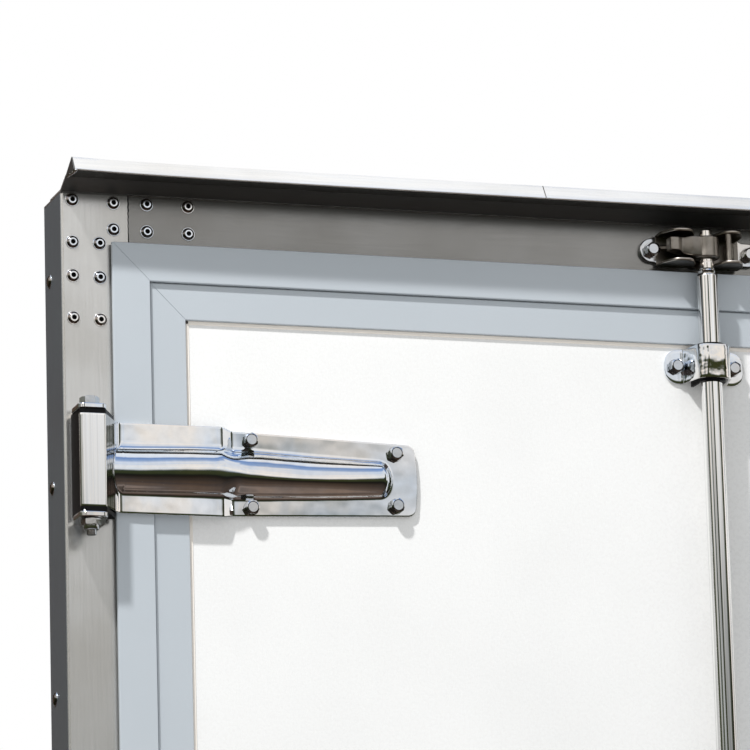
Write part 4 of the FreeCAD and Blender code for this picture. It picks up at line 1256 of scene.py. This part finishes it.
def set_world(s):
    """Soft light all round, white behind the object, and a bright sky over dark ground that
    only shows in the steel's reflections. OUTLOOK gives its colours over the elevation, and
    SKYLINE how high the dark part reaches over the azimuth, both in degrees."""
    world = bpy.data.worlds.new("studio")
    bpy.context.scene.world = world
    world.use_nodes = True
    world.cycles.sampling_method = "NONE"
    tree = world.node_tree
    tree.nodes.clear()

    def math_node(kind, *inputs):
        return add_node(tree, "Math", dict(enumerate(inputs)), operation=kind).outputs["Value"]

    def background(tint, strength=1.0):
        inputs = {"Color": tint, "Strength": strength}
        return add_node(tree, "Background", inputs).outputs["Background"]

    def mixed(share, one, other):
        return add_node(tree, "MixShader", {0: share, 1: one, 2: other}).outputs["Shader"]

    way = add_node(tree, "TexCoord", {}).outputs["Generated"]
    axes = add_node(tree, "SeparateXYZ", {"Vector": way}).outputs
    turn = math_node("ARCTAN2", axes["X"], math_node("MULTIPLY", axes["Y"], -1.0))
    around = math_node("MULTIPLY_ADD", turn, 0.5 / math.pi, 0.5)
    raised = math_node("ARCSINE", axes["Z"])
    above = math_node("MULTIPLY_ADD", raised, 7.0, 0.25)
    above = math_node("MINIMUM", above, math_node("MULTIPLY_ADD", raised, -2.3, 2.4))
    above = math_node("MINIMUM", math_node("MAXIMUM", above, 0.0), 1.0)
    skyline = [((a + 180) / 360, (0.5 + h / 180,) * 3) for a, h in SKYLINE]
    shift = math_node("MULTIPLY_ADD", ramp(tree, around, skyline), -1.0, 0.5)
    level = math_node("MULTIPLY_ADD", raised, 1 / math.pi, 0.5)
    level = math_node("MULTIPLY_ADD", above, shift, level)
    outlook = ramp(tree, level, [((a + 90) / 180, tint) for a, tint in OUTLOOK])
    cloud = add_node(tree, "TexNoise", {"Vector": way, "Scale": 7.0, "Detail": 3.0})
    wisps = ramp(tree, cloud.outputs["Fac"], [(0.38, (0.86, 0.90, 0.96)), (0.62, (1.04, 1.0, 0.95))])
    path = add_node(tree, "LightPath", {}).outputs
    soft = background((0.95, 0.975, 1.0, 1), s.sky_strength)
    lit = mixed(path["Is Glossy Ray"], soft, background(times(tree, outlook, wisps)))
    seen = mixed(path["Is Camera Ray"], lit, background((1, 1, 1, 1)))
    add_node(tree, "OutputWorld", {"Surface": seen})


def add_lamps(s):
    """A key lamp from the upper left in front, and a weak broad fill from the right."""
    aim = Vector((-0.6, 0, 1.4))
    for name, way, size, energy in (
        ("key", Vector((-1.08, -1.0, 2.05)), s.key_size, s.key_energy),
        ("fill", Vector((1.6, -1.4, 0.5)), 3.0, s.key_energy * 0.05),
    ):
        data = bpy.data.lights.new(name, "AREA")
        data.size = size
        data.energy = energy
        lamp = bpy.data.objects.new(name, data)
        bpy.context.scene.collection.objects.link(lamp)
        lamp.location = aim + way.normalized() * 4.5
        lamp.visible_glossy = name == "key"
        lamp.rotation_euler = way.to_track_quat("Z", "Y").to_euler()


def add_camera():
    """The photograph's camera: a long lens from below and to the left."""
    yaw, pitch, roll = (math.radians(a) for a in (18.30, 13.09, -1.63))
    film, focal_pixels, picture_pixels = 36.0, 5319.0, 750.0
    turn = Matrix.Rotation(-yaw, 4, "Z") @ Matrix.Rotation(math.pi / 2 + pitch, 4, "X")
    turn = turn @ Matrix.Rotation(roll, 4, "Z")
    data = bpy.data.cameras.new("camera")
    data.sensor_width = film
    data.lens = film * focal_pixels / picture_pixels
    data.clip_end = 200.0
    camera = bpy.data.objects.new("camera", data)
    bpy.context.scene.collection.objects.link(camera)
    place = Vector((LEFT, FRONT, TOP)) + Vector((-1298.5, -4895.8, -1370.7)) * MM
    camera.matrix_world = Matrix.Translation(place) @ turn
    bpy.context.scene.camera = camera


OPERATORS = (
    DressSolids,
    Visor,
    Seams,
    Straps,
    Brackets,
    HingePins,
    LockRods,
    LockCams,
    Keepers,
    RodGuides,
    LockHandles,
    FrameRivets,
    Bolts,
    Stage,
)

SETTINGS = (
    ("door_visor", VisorSettings),
    ("door_hinges", HingeSettings),
    ("door_locks", LockSettings),
    ("door_fasteners", FastenerSettings),
    ("door_finishes", FinishSettings),
    ("door_stage", StageSettings),
)


class RearDoorsPanel(Panel):
    """Lists the settings and the operators"""

    bl_idname = "VIEW3D_PT_rear_doors"
    bl_label = "Rear Doors"
    bl_space_type = "VIEW_3D"
    bl_region_type = "UI"
    bl_category = "Rear Doors"

    def draw(self, context):
        for name, group in SETTINGS:
            box = self.layout.box()
            for key in group.__annotations__:
                box.prop(getattr(context.scene, name), key)
        for operator in OPERATORS:
            self.layout.operator(operator.bl_idname)


def register():
    for name, group in SETTINGS:
        bpy.utils.register_class(group)
        setattr(bpy.types.Scene, name, PointerProperty(type=group))
    for cls in OPERATORS + (RearDoorsPanel,):
        bpy.utils.register_class(cls)


def unregister():
    for cls in reversed(OPERATORS + (RearDoorsPanel,)):
        bpy.utils.unregister_class(cls)
    for name, group in reversed(SETTINGS):
        delattr(bpy.types.Scene, name)
        bpy.utils.unregister_class(group)


def main():
    register()
    for operator in OPERATORS:
        group, name = operator.bl_idname.split(".")
        getattr(getattr(bpy.ops, group), name)()


if __name__ == "__main__":
    main()
